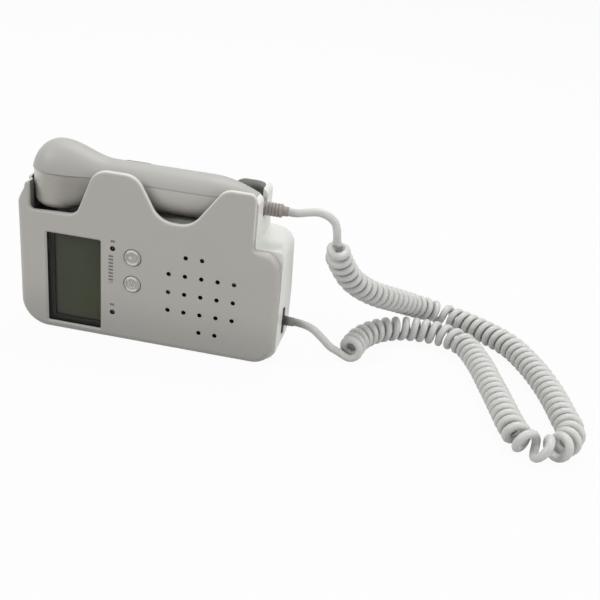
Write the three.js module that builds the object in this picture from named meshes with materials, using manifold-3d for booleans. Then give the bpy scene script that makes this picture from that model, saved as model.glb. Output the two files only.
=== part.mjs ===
// Fetal doppler monitor: a small unit with a holster on its long side, a probe that stands in the
// holster, and the curly cord between the two.
//
// Millimetres. X runs along the unit, from the display to the end where the cord goes in. Y runs from
// the front cover to the back. Z points up from the long side that the unit stands on. The origin is
// the middle of that side.

import * as THREE from 'three';
import { mergeVertices } from 'three/addons/utils/BufferGeometryUtils.js';
import Module from 'manifold-3d';

const wasm = await Module();
wasm.setup();
const { Manifold, Mesh } = wasm;

// General sizes
const CLEAR = 0.3; // gap between pieces that touch
const OVERRUN = 3; // how far a cut runs past what it cuts
const SMOOTH = 1; // an arc of this radius is drawn with one step a radian
const MERGE = 0.0001; // points nearer than this are one

// Numbers of sides and steps
const FINE_SIDES = 24;
const ROUND_SIDES = 20;
const ROD_SIDES = 16;
const PIN_SIDES = 12;
const BORE_SIDES = 10;
const GRILLE_SIDES = 8;
const CUP_SIDES = 32;
const CASE_STEPS = 3; // round the case's long edges

// The case: overall size and walls
const DEPTH = 35;
const WALL = 2.2; // sides of both shells
const FACE = 2.4; // face of the front cover and its holster wall
const BACK_WALL = 2.4; // back of the rear housing and its holster wall
const DECK = 2; // floor of the holster
const RIM = 5.2; // from the front face to the parting line
const EDGE = 0.7; // rounding of the wavy edges
const FRONT_ROUND = 4; // rounding round the front
const BACK_ROUND = 5; // rounding round the back
const DRAFT = 1.4; // how much shorter the case is at the parting line than at its back

// The display opening, whose top the holster's floor follows
const WINDOW_START = 15.9; // from the display end
const WINDOW_BASE = 4.9;
const WINDOW_WIDTH = 29.5;
const WINDOW_HEIGHT = 50.9;
const WINDOW_ROUND = 0.8;
const WINDOW_ABOVE = 5.2; // from the opening up to the underside of the holster's floor

// The case's outline, seen from the front: heights over the holster's floor
const LIP_RISE = 4.9; // front of the pocket, by the first crest
const LIP_FALL = 1.1; // how much lower it is at the display end
const VALLEY_RISE = 8.5;
const CREST_RISE = 30.4;
const REAR_CREST_FALL = 3.4; // how much lower the rear's crests are
const POST_RISE = 26;
const POST_BEND_RISE = 15; // where it turns up again to its tip
const POST_BEND_LEAN = 4.8; // how far it leans in there
const POST_KNEE_RISE = 8.6; // where it turns in
const POST_LEAN = 0.6; // how far it leans in at its knee
const POST_FOOT_FALL = 15; // under the floor, where it starts to lean in
const SHOULDER_RISE = 0.2; // the front's shoulder
const REAR_SHOULDER_RISE = 4.2; // the rear's shoulder, at the back
const SHOULDER_LEAN = 1.5; // how far the cord end leans in at the shoulder
const LEAN_START = 33; // height where that lean starts

// Places along the outline, from the display end
const SHOULDER_LONG = 15.5; // what the case has past the holster
const END_STEP = 0.8; // how far the front stops short of the holster's end wall
const POCKET_START = 8.1;
// The others are shares of the holster's length.
const POCKET_END_SHARE = 0.2553;
const CREST_1_SHARES = [0.3354, 0.5083];
const VALLEY_SHARES = [0.6043, 0.7367];
const CREST_2_SHARE = 0.8652;

const TIP_ROUND = 0.8;
const NOTCH_ROUND = 2.5;
const CREST_END_ROUND = 3.6;
const CREST_ROUND = 8;
const CREST_1_ROUND = 10;
const VALLEY_ROUND = 12.5;
const POCKET_ROUND = 6;
const SHOULDER_ROUND = 9;
const POST_ROUND = 6;
const LEAN_ROUND = 30;
const BASE_ROUND = 12; // corner under the cord end
const FOOT_ROUND = 15; // corner under the display end

// The holster
const POCKET_GAP = 0.6; // round the probe's head
const HEAD_GAP = 3.8; // under the probe's head
const TAIL_GAP = 1.2; // behind the probe's tail
const END_WALL = 2.3; // wall across the holster's end
const HOLSTER_CORNER = 6;
const CUP_WALL = 1.8; // round wall at the display end
const CUP_RISE = 17.3; // its height over the floor
const SADDLE = 3.2; // width of the two ribs that carry the handle
const SADDLE_UNDER = 6.5; // how far under the probe's axis they end
const SADDLE_SHARES = [0.402, 0.79]; // their places along the holster
const RELIEF_GAP = 0.6; // between the end wall's notch and the strain relief

// The probe
const HEAD_LIP = 0.7; // how far the dome stands out past the cap
const CAP_HEIGHT = 15.55; // from the axis down
const CAP_ROUND = 5;
const CAP_TAPER = 0.3;
const DOME = 18.8; // height of the dome over the axis
const NECK = 28; // length over which the dome runs down into the handle
const GRIP_HALF = 11.7; // half the handle's width
const GRIP_RISE = 11.9; // handle over its axis
const BELLY = 11.4; // handle under its axis
const SEAM_RISE = 4.2; // seam of the two shells over the axis
const PROBE_LENGTH = 119.8;
const TAIL = 24; // length over which the tail tapers
const TAIL_R = 6;
const PROBE_WALL = 1.8;
const SHELL_SIDES = 24; // sides of the probe's outside
const ROOM_SIDES = 12; // and of the room inside it
const HEAD_STEPS = 6;
const NECK_STEPS = 6;
const GRIP_STEPS = 2;
const TAIL_STEPS = 5;
const CAP_STEPS = 3;
const NOSE_SHARE = 0.1; // of a quarter turn, from the tip to the first ring

// The display
const LENS = 1;
const REBATE = 1.2; // overlap of the lens behind the window's edge
const BEZEL = 0.8;
const BEZEL_SIDE = 3.2; // black border at the display end
const BEZEL_BASE = 3;
const BEZEL_TOP = 1.2;
const PANEL = 1.8;
const BORDER = 0.9; // border that is left of the frame elsewhere

// Buttons, lamps and what is behind them
const BUTTON_AT = 62.9; // from the display end
const BUTTON_LOW = 34.6;
const BUTTON_PITCH = 14.9;
const BUTTON_R = 4.4;
const BUTTON_GAP = 0.3;
const BUTTON_PROUD = 0.7;
const BUTTON_FLANGE = 1.1;
const BUTTON_TRAVEL = 0.6;
const STEM_R = 1.8;
const PLUNGER_R = 1.5;
const SWITCH_SIZE = 6;
const STEM_LONG = 2.1; // between a button's flange and its plunger
const LAMP_AT = 52.1; // from the display end
const LAMP_LOW = 16.2;
const LAMP_PITCH = 36.5;
const LAMP_R = 1.1;
const LAMP_TIP_SHARES = [0.7, 0.25]; // of its radius: flat tip's radius, and rise of its rounding
const LAMP_FLANGE_SHARE = 1.6; // of its radius

// The speaker and its grille
const GRILLE_AT = 99.7; // from the display end
const GRILLE_Z = 33.6;
const GRILLE_X_PITCH = 8.65;
const GRILLE_Z_PITCH = 10.3;
const GRILLE_R = 1.2;
const GRILLE_ROWS = [[-1, 0], [-2, -1, 0, 1, 2], [-2, -1, 0, 1, 2], [-2, -1, 0, 1, 2], [0, 1]];
const SPEAKER_R = 20;
const SPEAKER_FLANGE = 1.2;
const SPEAKER_DEPTH = 7;
const SPEAKER_WALL = 1;
const MAGNET_R = 10.5;
const MAGNET = 6;
const RING = 2.4; // height of the ring that holds the speaker
const CONE_WALL = 0.6;

// Circuit board and batteries
const BOARD = 1.6;
const BOARD_START = 5; // from the display end
const BOARD_END = 76;
const BOARD_BASE = 4.5;
const BOARD_UNDER_DECK = 1;
const BAY_WALL = 1.5;
const BAY_START = 6.8; // from the display end
const BAY_BASE = 17.4;
const CELL_R = 7.1;
const CELL = 49.3;
const CELL_NUB = 1;
const CELL_NUB_R = 2.7;
const CELL_SIDES = 18;
const CELL_GAP = 2.2; // between the cells and their cover
const CONTACT = 0.5;
const CONTACT_SPRING = 3.2;
const SPRING_SHARE = 1.5; // a spring's foot, as a share of a cell's nub
const SPRING_SIDES = 14;
const PEG_R = 1.6;

// Battery cover
const COVER = 2;
const COVER_LAP = 3; // how far the cover laps over the bay
const TONGUE = 1;
const TONGUE_OUT = 1.2;
const PAD = 2.6; // thickness under the cover's recess
const GRIP_GROOVE = 0.5;
const GRIP_GROOVES = 5;
const GRIP_PITCH = 2.4;
const GRIP_LONG = 14;

// Screws
const BOSS_R = 3.1;
const SCREW_R = 1.3;
const SCREW_HEAD_R = 2.4;
const SCREW_HEAD = 1.8;
const SCREW_LONG = 10;
const SCREW_HEAD_SHARES = [0.85, 0.6]; // of the head: its flat's radius, and height of its side
const BOSS_IN = 8.8; // from the ends of the case
const BOSS_LOW = 8.2;
const BOSS_UNDER_DECK = 0.9;

// Gland where the cord leaves the case
const GLAND_Z = 20;
const GLAND_TALL = 15;
const GLAND_WIDE = 3.4;
const GLAND_SUNK = 0.9; // depth of the slot that it sits in
const GLAND_PROUD = 0.5;
const GLAND_BOOT = 5.6;
const GLAND_BOOT_R = 2.7;

// Inside the probe
const DISC_R = 9.2;
const DISC_STEP = 0.7;
const CRYSTAL_R = 8.4;
const CRYSTAL = 1.2;
const CRYSTAL_GAP = 1.2;
const BACKING = 4;
const PROBE_BOARD = 1.2;
const PROBE_BOARD_LONG = 36;
const PROBE_BOARD_WIDE = 15;
const PROBE_BOARD_DROP = 4; // under the seam
const PROBE_SCREW_FIRST = 38; // from the head's middle
const PROBE_SCREW_GAP = 1.1; // between the board's ends and the bosses

// Strain relief on the probe
const RELIEF_R = 3.5;
const RELIEF_LONG = 12.4;
const RELIEF_END_R = 2.75;
const RELIEF_END = 3.2;
const RELIEF_NECK_R = 2.4;
const RELIEF_FLANGE = 0.8; // what holds it behind the shell's wall
const RELIEF_DROP = 1.3; // how far it sits under the probe's axis

// The cord
const CORD_R = 2.1;
const CURL_R = 4.9; // from the coil's axis to the middle of the cord
const CURL_GAP = 0.66; // between one curl and the next, on the inside of a bend
const CURL_OPEN = 1.2; // how much more the curls open in a bend than its curve asks for
const CURL_STEPS = 8;
const CURL_LIFT = 0.45; // angle past its lowest place at which the last curl ends
const CURL_SIDES = 5;
const CORD_SIDES = 8;
const PROBE_END_STEPS = 14;
const UNIT_END_STEPS = 12;

// Places that follow from the sizes above
const CAP_R = DEPTH / 2 - FACE - POCKET_GAP;
const HEAD_R = CAP_R + HEAD_LIP;
const HOLSTER_END = WALL + POCKET_GAP + PROBE_LENGTH + TAIL_GAP + END_WALL;
const LENGTH = HOLSTER_END + SHOULDER_LONG;
const LEFT = -LENGTH / 2;
const RIGHT = LENGTH / 2;
const FRONT = -DEPTH / 2;
const BACK = DEPTH / 2;
const FACE_IN = FRONT + FACE;
const BACK_IN = BACK - BACK_WALL;
const PARTING = FRONT + RIM;
const FRONT_RIGHT = RIGHT - DRAFT;
const END_FACE = RIGHT - DRAFT * BACK / (BACK - PARTING); // the cord end, at mid depth
const HEAD_X = LEFT + WALL + POCKET_GAP + HEAD_R;
const TAIL_X = HEAD_X - HEAD_R + PROBE_LENGTH;
const POCKET_X = LEFT + POCKET_START;
const END_WALL_X = LEFT + HOLSTER_END - END_WALL;
const FLOOR = WINDOW_BASE + WINDOW_HEIGHT + WINDOW_ABOVE + DECK;
const SHOULDER = FLOOR + SHOULDER_RISE;
const CUP_TOP = FLOOR + CUP_RISE;
const AXIS = FLOOR + HEAD_GAP + CAP_HEIGHT; // of the probe
const SEAM = AXIS + SEAM_RISE;
const RELIEF_Z = AXIS - RELIEF_DROP;
const TOP = AXIS + DOME + OVERRUN;
const BOARD_TOP = FLOOR - DECK - BOARD_UNDER_DECK;
const BOSS_HIGH = FLOOR - DECK - BOSS_UNDER_DECK - BOSS_R;
const BAY_LONG = CELL + CELL_NUB + 2 * (CONTACT + CONTACT_SPRING + CLEAR);
const BAY_TALL = 4 * CELL_R + 3 * CLEAR;
const BAY_X = LEFT + BAY_START;
const RECESS = BACK - COVER - CLEAR;
const BAY_FRONT = RECESS - CELL_GAP - 2 * CELL_R - CLEAR;
const BOARD_FRONT = BAY_FRONT - BAY_WALL - PEG_R - CLEAR - BOARD;
const PROBE_SCREW_PITCH = PROBE_BOARD_LONG + 2 * (BOSS_R + PROBE_WALL + PROBE_SCREW_GAP);

// Solids

function closed(geometry) {
  const bare = new THREE.BufferGeometry();
  bare.setAttribute('position', geometry.attributes.position);
  if (geometry.index) bare.setIndex(geometry.index);
  const merged = mergeVertices(bare, MERGE);
  const old = merged.index.array;
  const kept = [];
  for (let i = 0; i < old.length; i += 3) {
    const [a, b, c] = [old[i], old[i + 1], old[i + 2]];
    if (a !== b && b !== c && c !== a) kept.push(a, b, c);
  }
  merged.setIndex(kept);
  return merged;
}

function solid(geometry) {
  const whole = closed(geometry);
  return new Manifold(new Mesh({
    numProp: 3,
    vertProperties: new Float32Array(whole.attributes.position.array),
    triVerts: new Uint32Array(whole.index.array),
  }));
}

function geometryOf(manifold) {
  const mesh = manifold.getMesh();
  const geometry = new THREE.BufferGeometry();
  geometry.setAttribute('position', new THREE.BufferAttribute(new Float32Array(mesh.vertProperties), 3));
  geometry.setIndex(new THREE.BufferAttribute(new Uint32Array(mesh.triVerts), 1));
  geometry.computeVertexNormals();
  return geometry;
}

const join = (first, ...others) => others.reduce((all, next) => all.add(next), first);
const cut = (first, ...others) => others.reduce((rest, next) => rest.subtract(next), first);

// An outline with round corners, from a list of [across, up, radius].
function rounded(corners) {
  const points = [];
  corners.forEach(([x, z, radius], i) => {
    const here = new THREE.Vector2(x, z);
    const before = corners[(i + corners.length - 1) % corners.length];
    const after = corners[(i + 1) % corners.length];
    const back = new THREE.Vector2(before[0], before[1]).sub(here).normalize();
    const on = new THREE.Vector2(after[0], after[1]).sub(here).normalize();
    const half = Math.acos(THREE.MathUtils.clamp(back.dot(on), -1, 1)) / 2;
    if (radius === 0 || Math.PI / 2 - half < 0.001) {
      points.push(here);
      return;
    }
    const middle = here.clone().addScaledVector(back.clone().add(on).normalize(), radius / Math.sin(half));
    const start = here.clone().addScaledVector(back, radius / Math.tan(half)).sub(middle).angle();
    const side = Math.sign(back.cross(on));
    const turn = (Math.PI - 2 * half) * -side;
    const steps = Math.max(2, Math.ceil(Math.abs(turn) * Math.sqrt(radius / SMOOTH)));
    for (let k = 0; k <= steps; k += 1) {
      const angle = start + turn * k / steps;
      points.push(new THREE.Vector2(Math.cos(angle), Math.sin(angle)).multiplyScalar(radius).add(middle));
    }
  });
  return points;
}

const rectangle = (x0, x1, z0, z1, radius = 0) =>
  rounded([[x0, z0, radius], [x1, z0, radius], [x1, z1, radius], [x0, z1, radius]]);

// An outline in X and Z, made solid from y0 to y1, with its edges rounded by edge.
function slab(points, y0, y1, edge = 0, steps = 1) {
  const geometry = new THREE.ExtrudeGeometry(new THREE.Shape(points), {
    depth: y1 - y0 - 2 * edge,
    bevelEnabled: edge > 0,
    bevelThickness: edge,
    bevelSize: edge,
    bevelOffset: -edge,
    bevelSegments: steps,
    curveSegments: 1,
  });
  return solid(geometry.rotateX(Math.PI / 2).translate(0, y1 - edge, 0));
}

// An outline in Y and Z, made solid from x0 to x1.
function bar(points, x0, x1) {
  const geometry = new THREE.ExtrudeGeometry(new THREE.Shape(points), { depth: x1 - x0, bevelEnabled: false });
  const turn = new THREE.Matrix4().makeBasis(
    new THREE.Vector3(0, 1, 0), new THREE.Vector3(0, 0, 1), new THREE.Vector3(1, 0, 0),
  );
  return solid(geometry.applyMatrix4(turn).translate(x0, 0, 0));
}

// An outline in X and Y, made solid from z0 to z1.
function column(points, z0, z1) {
  const geometry = new THREE.ExtrudeGeometry(new THREE.Shape(points), { depth: z1 - z0, bevelEnabled: false });
  return solid(geometry.translate(0, 0, z0));
}

function box(x0, x1, y0, y1, z0, z1) {
  const geometry = new THREE.BoxGeometry(x1 - x0, y1 - y0, z1 - z0);
  return solid(geometry.translate((x0 + x1) / 2, (y0 + y1) / 2, (z0 + z1) / 2));
}

// A profile of [radius, distance] turned about an axis through (x, y, z); distance runs along the axis.
function turned(axis, [x, y, z], profile, sides) {
  const geometry = new THREE.LatheGeometry(profile.map(([r, d]) => new THREE.Vector2(r, d)), sides);
  if (axis === 'x') geometry.rotateZ(-Math.PI / 2);
  if (axis === 'z') geometry.rotateX(Math.PI / 2);
  geometry.translate(x, y, z);
  const made = solid(geometry);
  return made.volume() < 0 ? solid(flipped(geometry)) : made;
}

function flipped(geometry) {
  const index = Array.from(geometry.index.array);
  for (let i = 0; i < index.length; i += 3) [index[i + 1], index[i + 2]] = [index[i + 2], index[i + 1]];
  return geometry.setIndex(index);
}

const rod = (axis, at, radius, from, to, sides = ROD_SIDES) =>
  turned(axis, at, [[0, from], [radius, from], [radius, to], [0, to]], sides);

// The case

// The outline of a shell; the front and the rear differ at the cord end and in the height of their crests.
const outline = ({ right, end, shoulder, crest }) => rounded([
  [LEFT, 0, FOOT_ROUND],
  [right, 0, BASE_ROUND],
  [right, LEAN_START, LEAN_ROUND],
  [right - SHOULDER_LEAN, shoulder, SHOULDER_ROUND],
  [end, shoulder, NOTCH_ROUND],
  [end, crest, CREST_END_ROUND],
  [LEFT + HOLSTER_END * CREST_2_SHARE, crest, CREST_ROUND],
  [LEFT + HOLSTER_END * VALLEY_SHARES[1], FLOOR + VALLEY_RISE, VALLEY_ROUND],
  [LEFT + HOLSTER_END * VALLEY_SHARES[0], FLOOR + VALLEY_RISE, VALLEY_ROUND],
  [LEFT + HOLSTER_END * CREST_1_SHARES[1], crest, CREST_1_ROUND],
  [LEFT + HOLSTER_END * CREST_1_SHARES[0], crest, CREST_1_ROUND],
  [LEFT + HOLSTER_END * POCKET_END_SHARE, FLOOR + LIP_RISE, POCKET_ROUND],
  [POCKET_X, FLOOR + LIP_RISE - LIP_FALL, NOTCH_ROUND],
  [POCKET_X, FLOOR + POST_RISE, TIP_ROUND],
  [LEFT + POST_BEND_LEAN, FLOOR + POST_BEND_RISE, FOOT_ROUND],
  [LEFT + POST_LEAN, FLOOR + POST_KNEE_RISE, POST_ROUND],
  [LEFT, FLOOR - POST_FOOT_FALL, LEAN_ROUND],
]);

const frontOutline = () => outline({
  right: FRONT_RIGHT, end: LEFT + HOLSTER_END - END_STEP, shoulder: SHOULDER, crest: FLOOR + CREST_RISE,
});

const rearOutline = () => outline({
  right: RIGHT,
  end: LEFT + HOLSTER_END,
  shoulder: FLOOR + REAR_SHOULDER_RISE,
  crest: FLOOR + CREST_RISE - REAR_CREST_FALL,
});

// The block that rounds the case's long edges; it is open above the holster.
const block = (right, y0, y1, round) => slab(
  rectangle(LEFT, right, 0, TOP + FOOT_ROUND, BASE_ROUND),
  y0, y1, round, CASE_STEPS,
);

// The room inside both shells, under the holster's floor.
const inside = (y0, y1) => slab(rounded([
  [LEFT + WALL, WALL, FOOT_ROUND - WALL],
  [FRONT_RIGHT - WALL, WALL, BASE_ROUND - WALL],
  [FRONT_RIGHT - WALL, LEAN_START, LEAN_ROUND - WALL],
  [FRONT_RIGHT - WALL - SHOULDER_LEAN, SHOULDER - WALL, SHOULDER_ROUND - WALL],
  [END_WALL_X, SHOULDER - WALL, 0],
  [END_WALL_X, FLOOR - DECK, 0],
  [LEFT + WALL, FLOOR - DECK, 0],
]), y0, y1);

const bosses = [
  [LEFT + BOSS_IN, BOSS_LOW],
  [RIGHT - BOSS_IN, BOSS_LOW],
  [LEFT + BOSS_IN, BOSS_HIGH],
  [RIGHT - BOSS_IN - SHOULDER_LEAN, BOSS_HIGH],
];
const BOSS_MEET = BOARD_FRONT + BOARD + CLEAR + PEG_R;
const SCREW_SEAT = BOSS_MEET + CLEAR + DECK;

const buttonPlaces = { lower: BUTTON_LOW, upper: BUTTON_LOW + BUTTON_PITCH };
const lampPlaces = { lower: LAMP_LOW, upper: LAMP_LOW + LAMP_PITCH };
const windowOutline = (grow) => rectangle(
  LEFT + WINDOW_START - grow, LEFT + WINDOW_START + WINDOW_WIDTH + grow,
  WINDOW_BASE - grow, WINDOW_BASE + WINDOW_HEIGHT + grow, WINDOW_ROUND,
);

function frontCover() {
  const reach = FRONT + DEPTH / 2;
  const form = slab(frontOutline(), FRONT, reach, EDGE)
    .intersect(block(FRONT_RIGHT, FRONT, reach, FRONT_ROUND))
    .intersect(box(LEFT, RIGHT, FRONT, PARTING, 0, TOP));
  const holster = box(
    LEFT + WALL, LEFT + HOLSTER_END + CLEAR, FACE_IN, PARTING + OVERRUN, FLOOR - DECK - CLEAR, TOP,
  );
  const posts = bosses.map(([x, z]) => rod('y', [x, 0, z], BOSS_R, FACE_IN - FACE / 2, BOSS_MEET));
  const pilots = bosses.map(([x, z]) =>
    rod('y', [x, 0, z], SCREW_R + CLEAR, SCREW_SEAT - SCREW_LONG - CLEAR, BOSS_MEET + OVERRUN, BORE_SIDES));
  const speakerAt = [LEFT + GRILLE_AT, 0, GRILLE_Z];
  const ring = cut(
    rod('y', speakerAt, SPEAKER_R + CLEAR + SPEAKER_WALL, FACE_IN - FACE / 2, FACE_IN + RING, FINE_SIDES),
    rod('y', speakerAt, SPEAKER_R + CLEAR, FACE_IN - FACE, FACE_IN + RING + OVERRUN, FINE_SIDES),
  );
  const holes = [];
  GRILLE_ROWS.forEach((row, j) => row.forEach((i) => {
    const at = [LEFT + GRILLE_AT + i * GRILLE_X_PITCH, 0, GRILLE_Z + (2 - j) * GRILLE_Z_PITCH];
    holes.push(rod('y', at, GRILLE_R, FRONT - OVERRUN, FACE_IN + OVERRUN, GRILLE_SIDES));
  }));
  for (const z of Object.values(buttonPlaces)) {
    const at = [LEFT + BUTTON_AT, 0, z];
    holes.push(rod('y', at, BUTTON_R + BUTTON_GAP, FRONT - OVERRUN, FACE_IN + OVERRUN, ROUND_SIDES));
  }
  for (const z of Object.values(lampPlaces)) {
    holes.push(rod('y', [LEFT + LAMP_AT, 0, z], LAMP_R + CLEAR, FRONT - OVERRUN, FACE_IN + OVERRUN, PIN_SIDES));
  }
  return cut(
    join(cut(form, inside(FACE_IN, PARTING + OVERRUN), holster), ring, ...posts),
    slab(windowOutline(0), FRONT - OVERRUN, FACE_IN + OVERRUN),
    slab(windowOutline(REBATE), FACE_IN - LENS - CLEAR, FACE_IN + OVERRUN),
    ...holes, ...pilots,
  );
}

// The rear form before it is hollowed: rounded round the back, shorter towards the parting line, and with
// a shoulder that slopes down to the front's.
function rearForm(y0) {
  const end = LEFT + HOLSTER_END;
  const drafted = column([
    [RIGHT, BACK], [FRONT_RIGHT, PARTING], [FRONT_RIGHT, FRONT - OVERRUN],
    [RIGHT + OVERRUN, FRONT - OVERRUN], [RIGHT + OVERRUN, BACK],
  ].map((p) => new THREE.Vector2(...p)), -OVERRUN, TOP);
  const sloped = bar([
    [FRONT - BACK_ROUND, SHOULDER], [PARTING, SHOULDER], [BACK + OVERRUN, FLOOR + REAR_SHOULDER_RISE],
    [BACK + OVERRUN, TOP], [FRONT - BACK_ROUND, TOP],
  ].map((p) => new THREE.Vector2(...p)), end, RIGHT + OVERRUN);
  const form = slab(rearOutline(), FRONT - BACK_ROUND, BACK, EDGE)
    .intersect(block(RIGHT, FRONT - BACK_ROUND, BACK, BACK_ROUND))
    .intersect(box(LEFT, RIGHT, y0, BACK, 0, TOP));
  return cut(form, drafted, sloped);
}

const COVER_LOW = BAY_BASE - BAY_WALL - COVER_LAP;
const COVER_HIGH = BAY_BASE + BAY_TALL + BAY_WALL + COVER_LAP;
const COVER_END = BAY_X + BAY_LONG + BAY_WALL + COVER_LAP;
const GROOVE_OUT = TONGUE_OUT + CLEAR;
const GROOVE_START = RECESS;
const GROOVE_END = RECESS + CLEAR + TONGUE + CLEAR;

// The holster's room: round at the display end, square to the far wall.
const channel = () => join(
  rod('z', [HEAD_X, 0, 0], HEAD_R + CLEAR, FLOOR, TOP, CUP_SIDES),
  column(rounded([
    [POCKET_X, FRONT - OVERRUN, 0],
    [END_WALL_X, FRONT - OVERRUN, 0],
    [END_WALL_X, BACK_IN, HOLSTER_CORNER],
    [POCKET_X, BACK_IN, 0],
  ]), FLOOR, TOP),
);

// The round wall that stands up round the probe's head.
const cup = () => rod('z', [HEAD_X, 0, 0], HEAD_R + CLEAR + CUP_WALL, FLOOR - DECK / 2, CUP_TOP, CUP_SIDES)
  .intersect(box(LEFT, POCKET_X, PARTING + CLEAR, BACK, 0, TOP));

// Two ribs across the floor, hollowed to the handle, which they carry.
const saddles = () => SADDLE_SHARES.map((share) => {
  const x = LEFT + HOLSTER_END * share;
  return cut(
    box(x, x + SADDLE, FACE_IN + CLEAR, BACK_IN + BACK_WALL / 2, FLOOR - DECK / 2, AXIS - SADDLE_UNDER),
    rod('x', [0, 0, AXIS], BELLY + CLEAR, x - OVERRUN, x + SADDLE + OVERRUN, CUP_SIDES),
  );
});

function rearHousing() {
  const tongue = slab(rearOutline(), FACE_IN + CLEAR, PARTING + 2 * CLEAR).intersect(box(
    LEFT + WALL + CLEAR, LEFT + HOLSTER_END, FRONT, BACK, FLOOR - DECK, TOP,
  ));
  const form = join(rearForm(PARTING + CLEAR), tongue, cup());
  const notch = join(
    rod('x', [0, 0, RELIEF_Z], RELIEF_R + RELIEF_GAP, END_WALL_X - OVERRUN, END_WALL_X + END_WALL + OVERRUN, FINE_SIDES),
    box(
      END_WALL_X - OVERRUN, END_WALL_X + END_WALL + OVERRUN,
      -RELIEF_R - RELIEF_GAP, RELIEF_R + RELIEF_GAP, RELIEF_Z, TOP,
    ),
  );
  const bay = [BAY_X, BAY_X + BAY_LONG, BAY_BASE, BAY_BASE + BAY_TALL];
  const tub = box(
    bay[0] - BAY_WALL, bay[1] + BAY_WALL, BAY_FRONT - BAY_WALL, BACK_IN + BAY_WALL / 2,
    bay[2] - BAY_WALL, bay[3] + BAY_WALL,
  );
  const pad = box(
    LEFT + WALL / 2, COVER_END + COVER_LAP, RECESS - PAD, BACK_IN + BAY_WALL / 2,
    COVER_LOW - COVER_LAP, COVER_HIGH + COVER_LAP,
  ).intersect(inside(FRONT, BACK).add(box(LEFT + WALL / 2, LEFT + FOOT_ROUND, FRONT, BACK, FOOT_ROUND, COVER_HIGH)));
  const pegs = [bay[0] + PEG_R * 2, bay[1] - PEG_R * 2].flatMap((x) => [bay[2], bay[3]].map((z) =>
    rod('y', [x, 0, z], PEG_R, BOARD_FRONT + BOARD + CLEAR, BAY_FRONT - BAY_WALL / 2, PIN_SIDES)));
  const posts = bosses.map(([x, z]) =>
    rod('y', [x, 0, z], BOSS_R + WALL / 2, BOSS_MEET + CLEAR, BACK_IN + BAY_WALL / 2));
  const shafts = bosses.map(([x, z]) => join(
    rod('y', [x, 0, z], SCREW_R + CLEAR, FRONT, BACK, BORE_SIDES),
    rod('y', [x, 0, z], SCREW_HEAD_R + CLEAR, SCREW_SEAT, BACK + OVERRUN),
  ));
  const recess = join(
    box(LEFT - OVERRUN, COVER_END + CLEAR, RECESS, BACK + OVERRUN, COVER_LOW - CLEAR, COVER_HIGH + CLEAR),
    box(
      LEFT - OVERRUN, COVER_END + CLEAR, GROOVE_START, GROOVE_END,
      COVER_LOW - CLEAR - GROOVE_OUT + CLEAR, COVER_HIGH + CLEAR + GROOVE_OUT - CLEAR,
    ),
  );
  const gland = join(
    slab(glandOutline(CLEAR), -GLAND_WIDE, GLAND_WIDE)
      .intersect(box(
        END_FACE - GLAND_SUNK, RIGHT + OVERRUN, -GLAND_WIDE / 2 - CLEAR, GLAND_WIDE / 2 + CLEAR, 0, TOP,
      )),
    rod('x', [0, 0, GLAND_Z], CORD_R + 2 * CLEAR, FRONT_RIGHT - WALL - OVERRUN, RIGHT + OVERRUN),
  );
  return cut(
    join(
      cut(form, inside(FRONT, BACK_IN), channel(), notch),
      tub.intersect(insideBack()), pad, ...saddles(), ...pegs, ...posts,
    ),
    box(bay[0], bay[1], BAY_FRONT, BACK, bay[2], bay[3]),
    recess, gland, ...shafts,
  );
}

const insideBack = () => inside(FRONT, BACK_IN + BAY_WALL);

// The gland's plate, seen along Y, is as tall as its slot.
const glandOutline = (grow) => rectangle(
  FRONT_RIGHT - WALL, RIGHT + GLAND_PROUD + grow,
  GLAND_Z - GLAND_TALL / 2 - grow, GLAND_Z + GLAND_TALL / 2 + grow,
);

function batteryCover() {
  const plate = rearForm(PARTING).intersect(box(LEFT, COVER_END, RECESS + CLEAR, BACK, COVER_LOW, COVER_HIGH));
  const start = LEFT + BACK_ROUND + TONGUE_OUT;
  const rail = box(
    start, COVER_END, RECESS + CLEAR, RECESS + CLEAR + TONGUE,
    COVER_LOW - TONGUE_OUT, COVER_HIGH + TONGUE_OUT,
  );
  const middle = (COVER_LOW + COVER_HIGH) / 2;
  const grooves = [];
  for (let k = 0; k < GRIP_GROOVES; k += 1) {
    const x = COVER_END - FOOT_ROUND - k * GRIP_PITCH;
    grooves.push(box(
      x - GRIP_PITCH / 4, x + GRIP_PITCH / 4, BACK - GRIP_GROOVE, BACK + OVERRUN,
      middle - GRIP_LONG / 2, middle + GRIP_LONG / 2,
    ));
  }
  return cut(join(plate, rail), ...grooves);
}

// The display, from the front to the board

const LENS_FRONT = FACE_IN - LENS;
const BEZEL_FRONT = FACE_IN + CLEAR;
const PANEL_FRONT = BEZEL_FRONT + BEZEL + CLEAR;
const HOLDER_FRONT = PANEL_FRONT + PANEL + CLEAR;

const lcdLens = () => slab(windowOutline(REBATE - CLEAR), LENS_FRONT, FACE_IN);

function lcdBezel() {
  const x0 = LEFT + WINDOW_START;
  const hole = rectangle(
    x0 + BEZEL_SIDE, x0 + WINDOW_WIDTH - BORDER,
    WINDOW_BASE + BEZEL_BASE, WINDOW_BASE + WINDOW_HEIGHT - BEZEL_TOP,
  );
  return cut(
    slab(windowOutline(REBATE), BEZEL_FRONT, BEZEL_FRONT + BEZEL),
    slab(hole, BEZEL_FRONT - OVERRUN, BEZEL_FRONT + OVERRUN),
  );
}

const lcdPanel = () => slab(windowOutline(BORDER), PANEL_FRONT, PANEL_FRONT + PANEL);

function lcdHolder() {
  const frame = slab(windowOutline(REBATE), HOLDER_FRONT, BOARD_FRONT - CLEAR);
  return cut(frame, slab(windowOutline(-REBATE - BORDER), HOLDER_FRONT + BORDER, BOARD_FRONT + OVERRUN));
}

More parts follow.
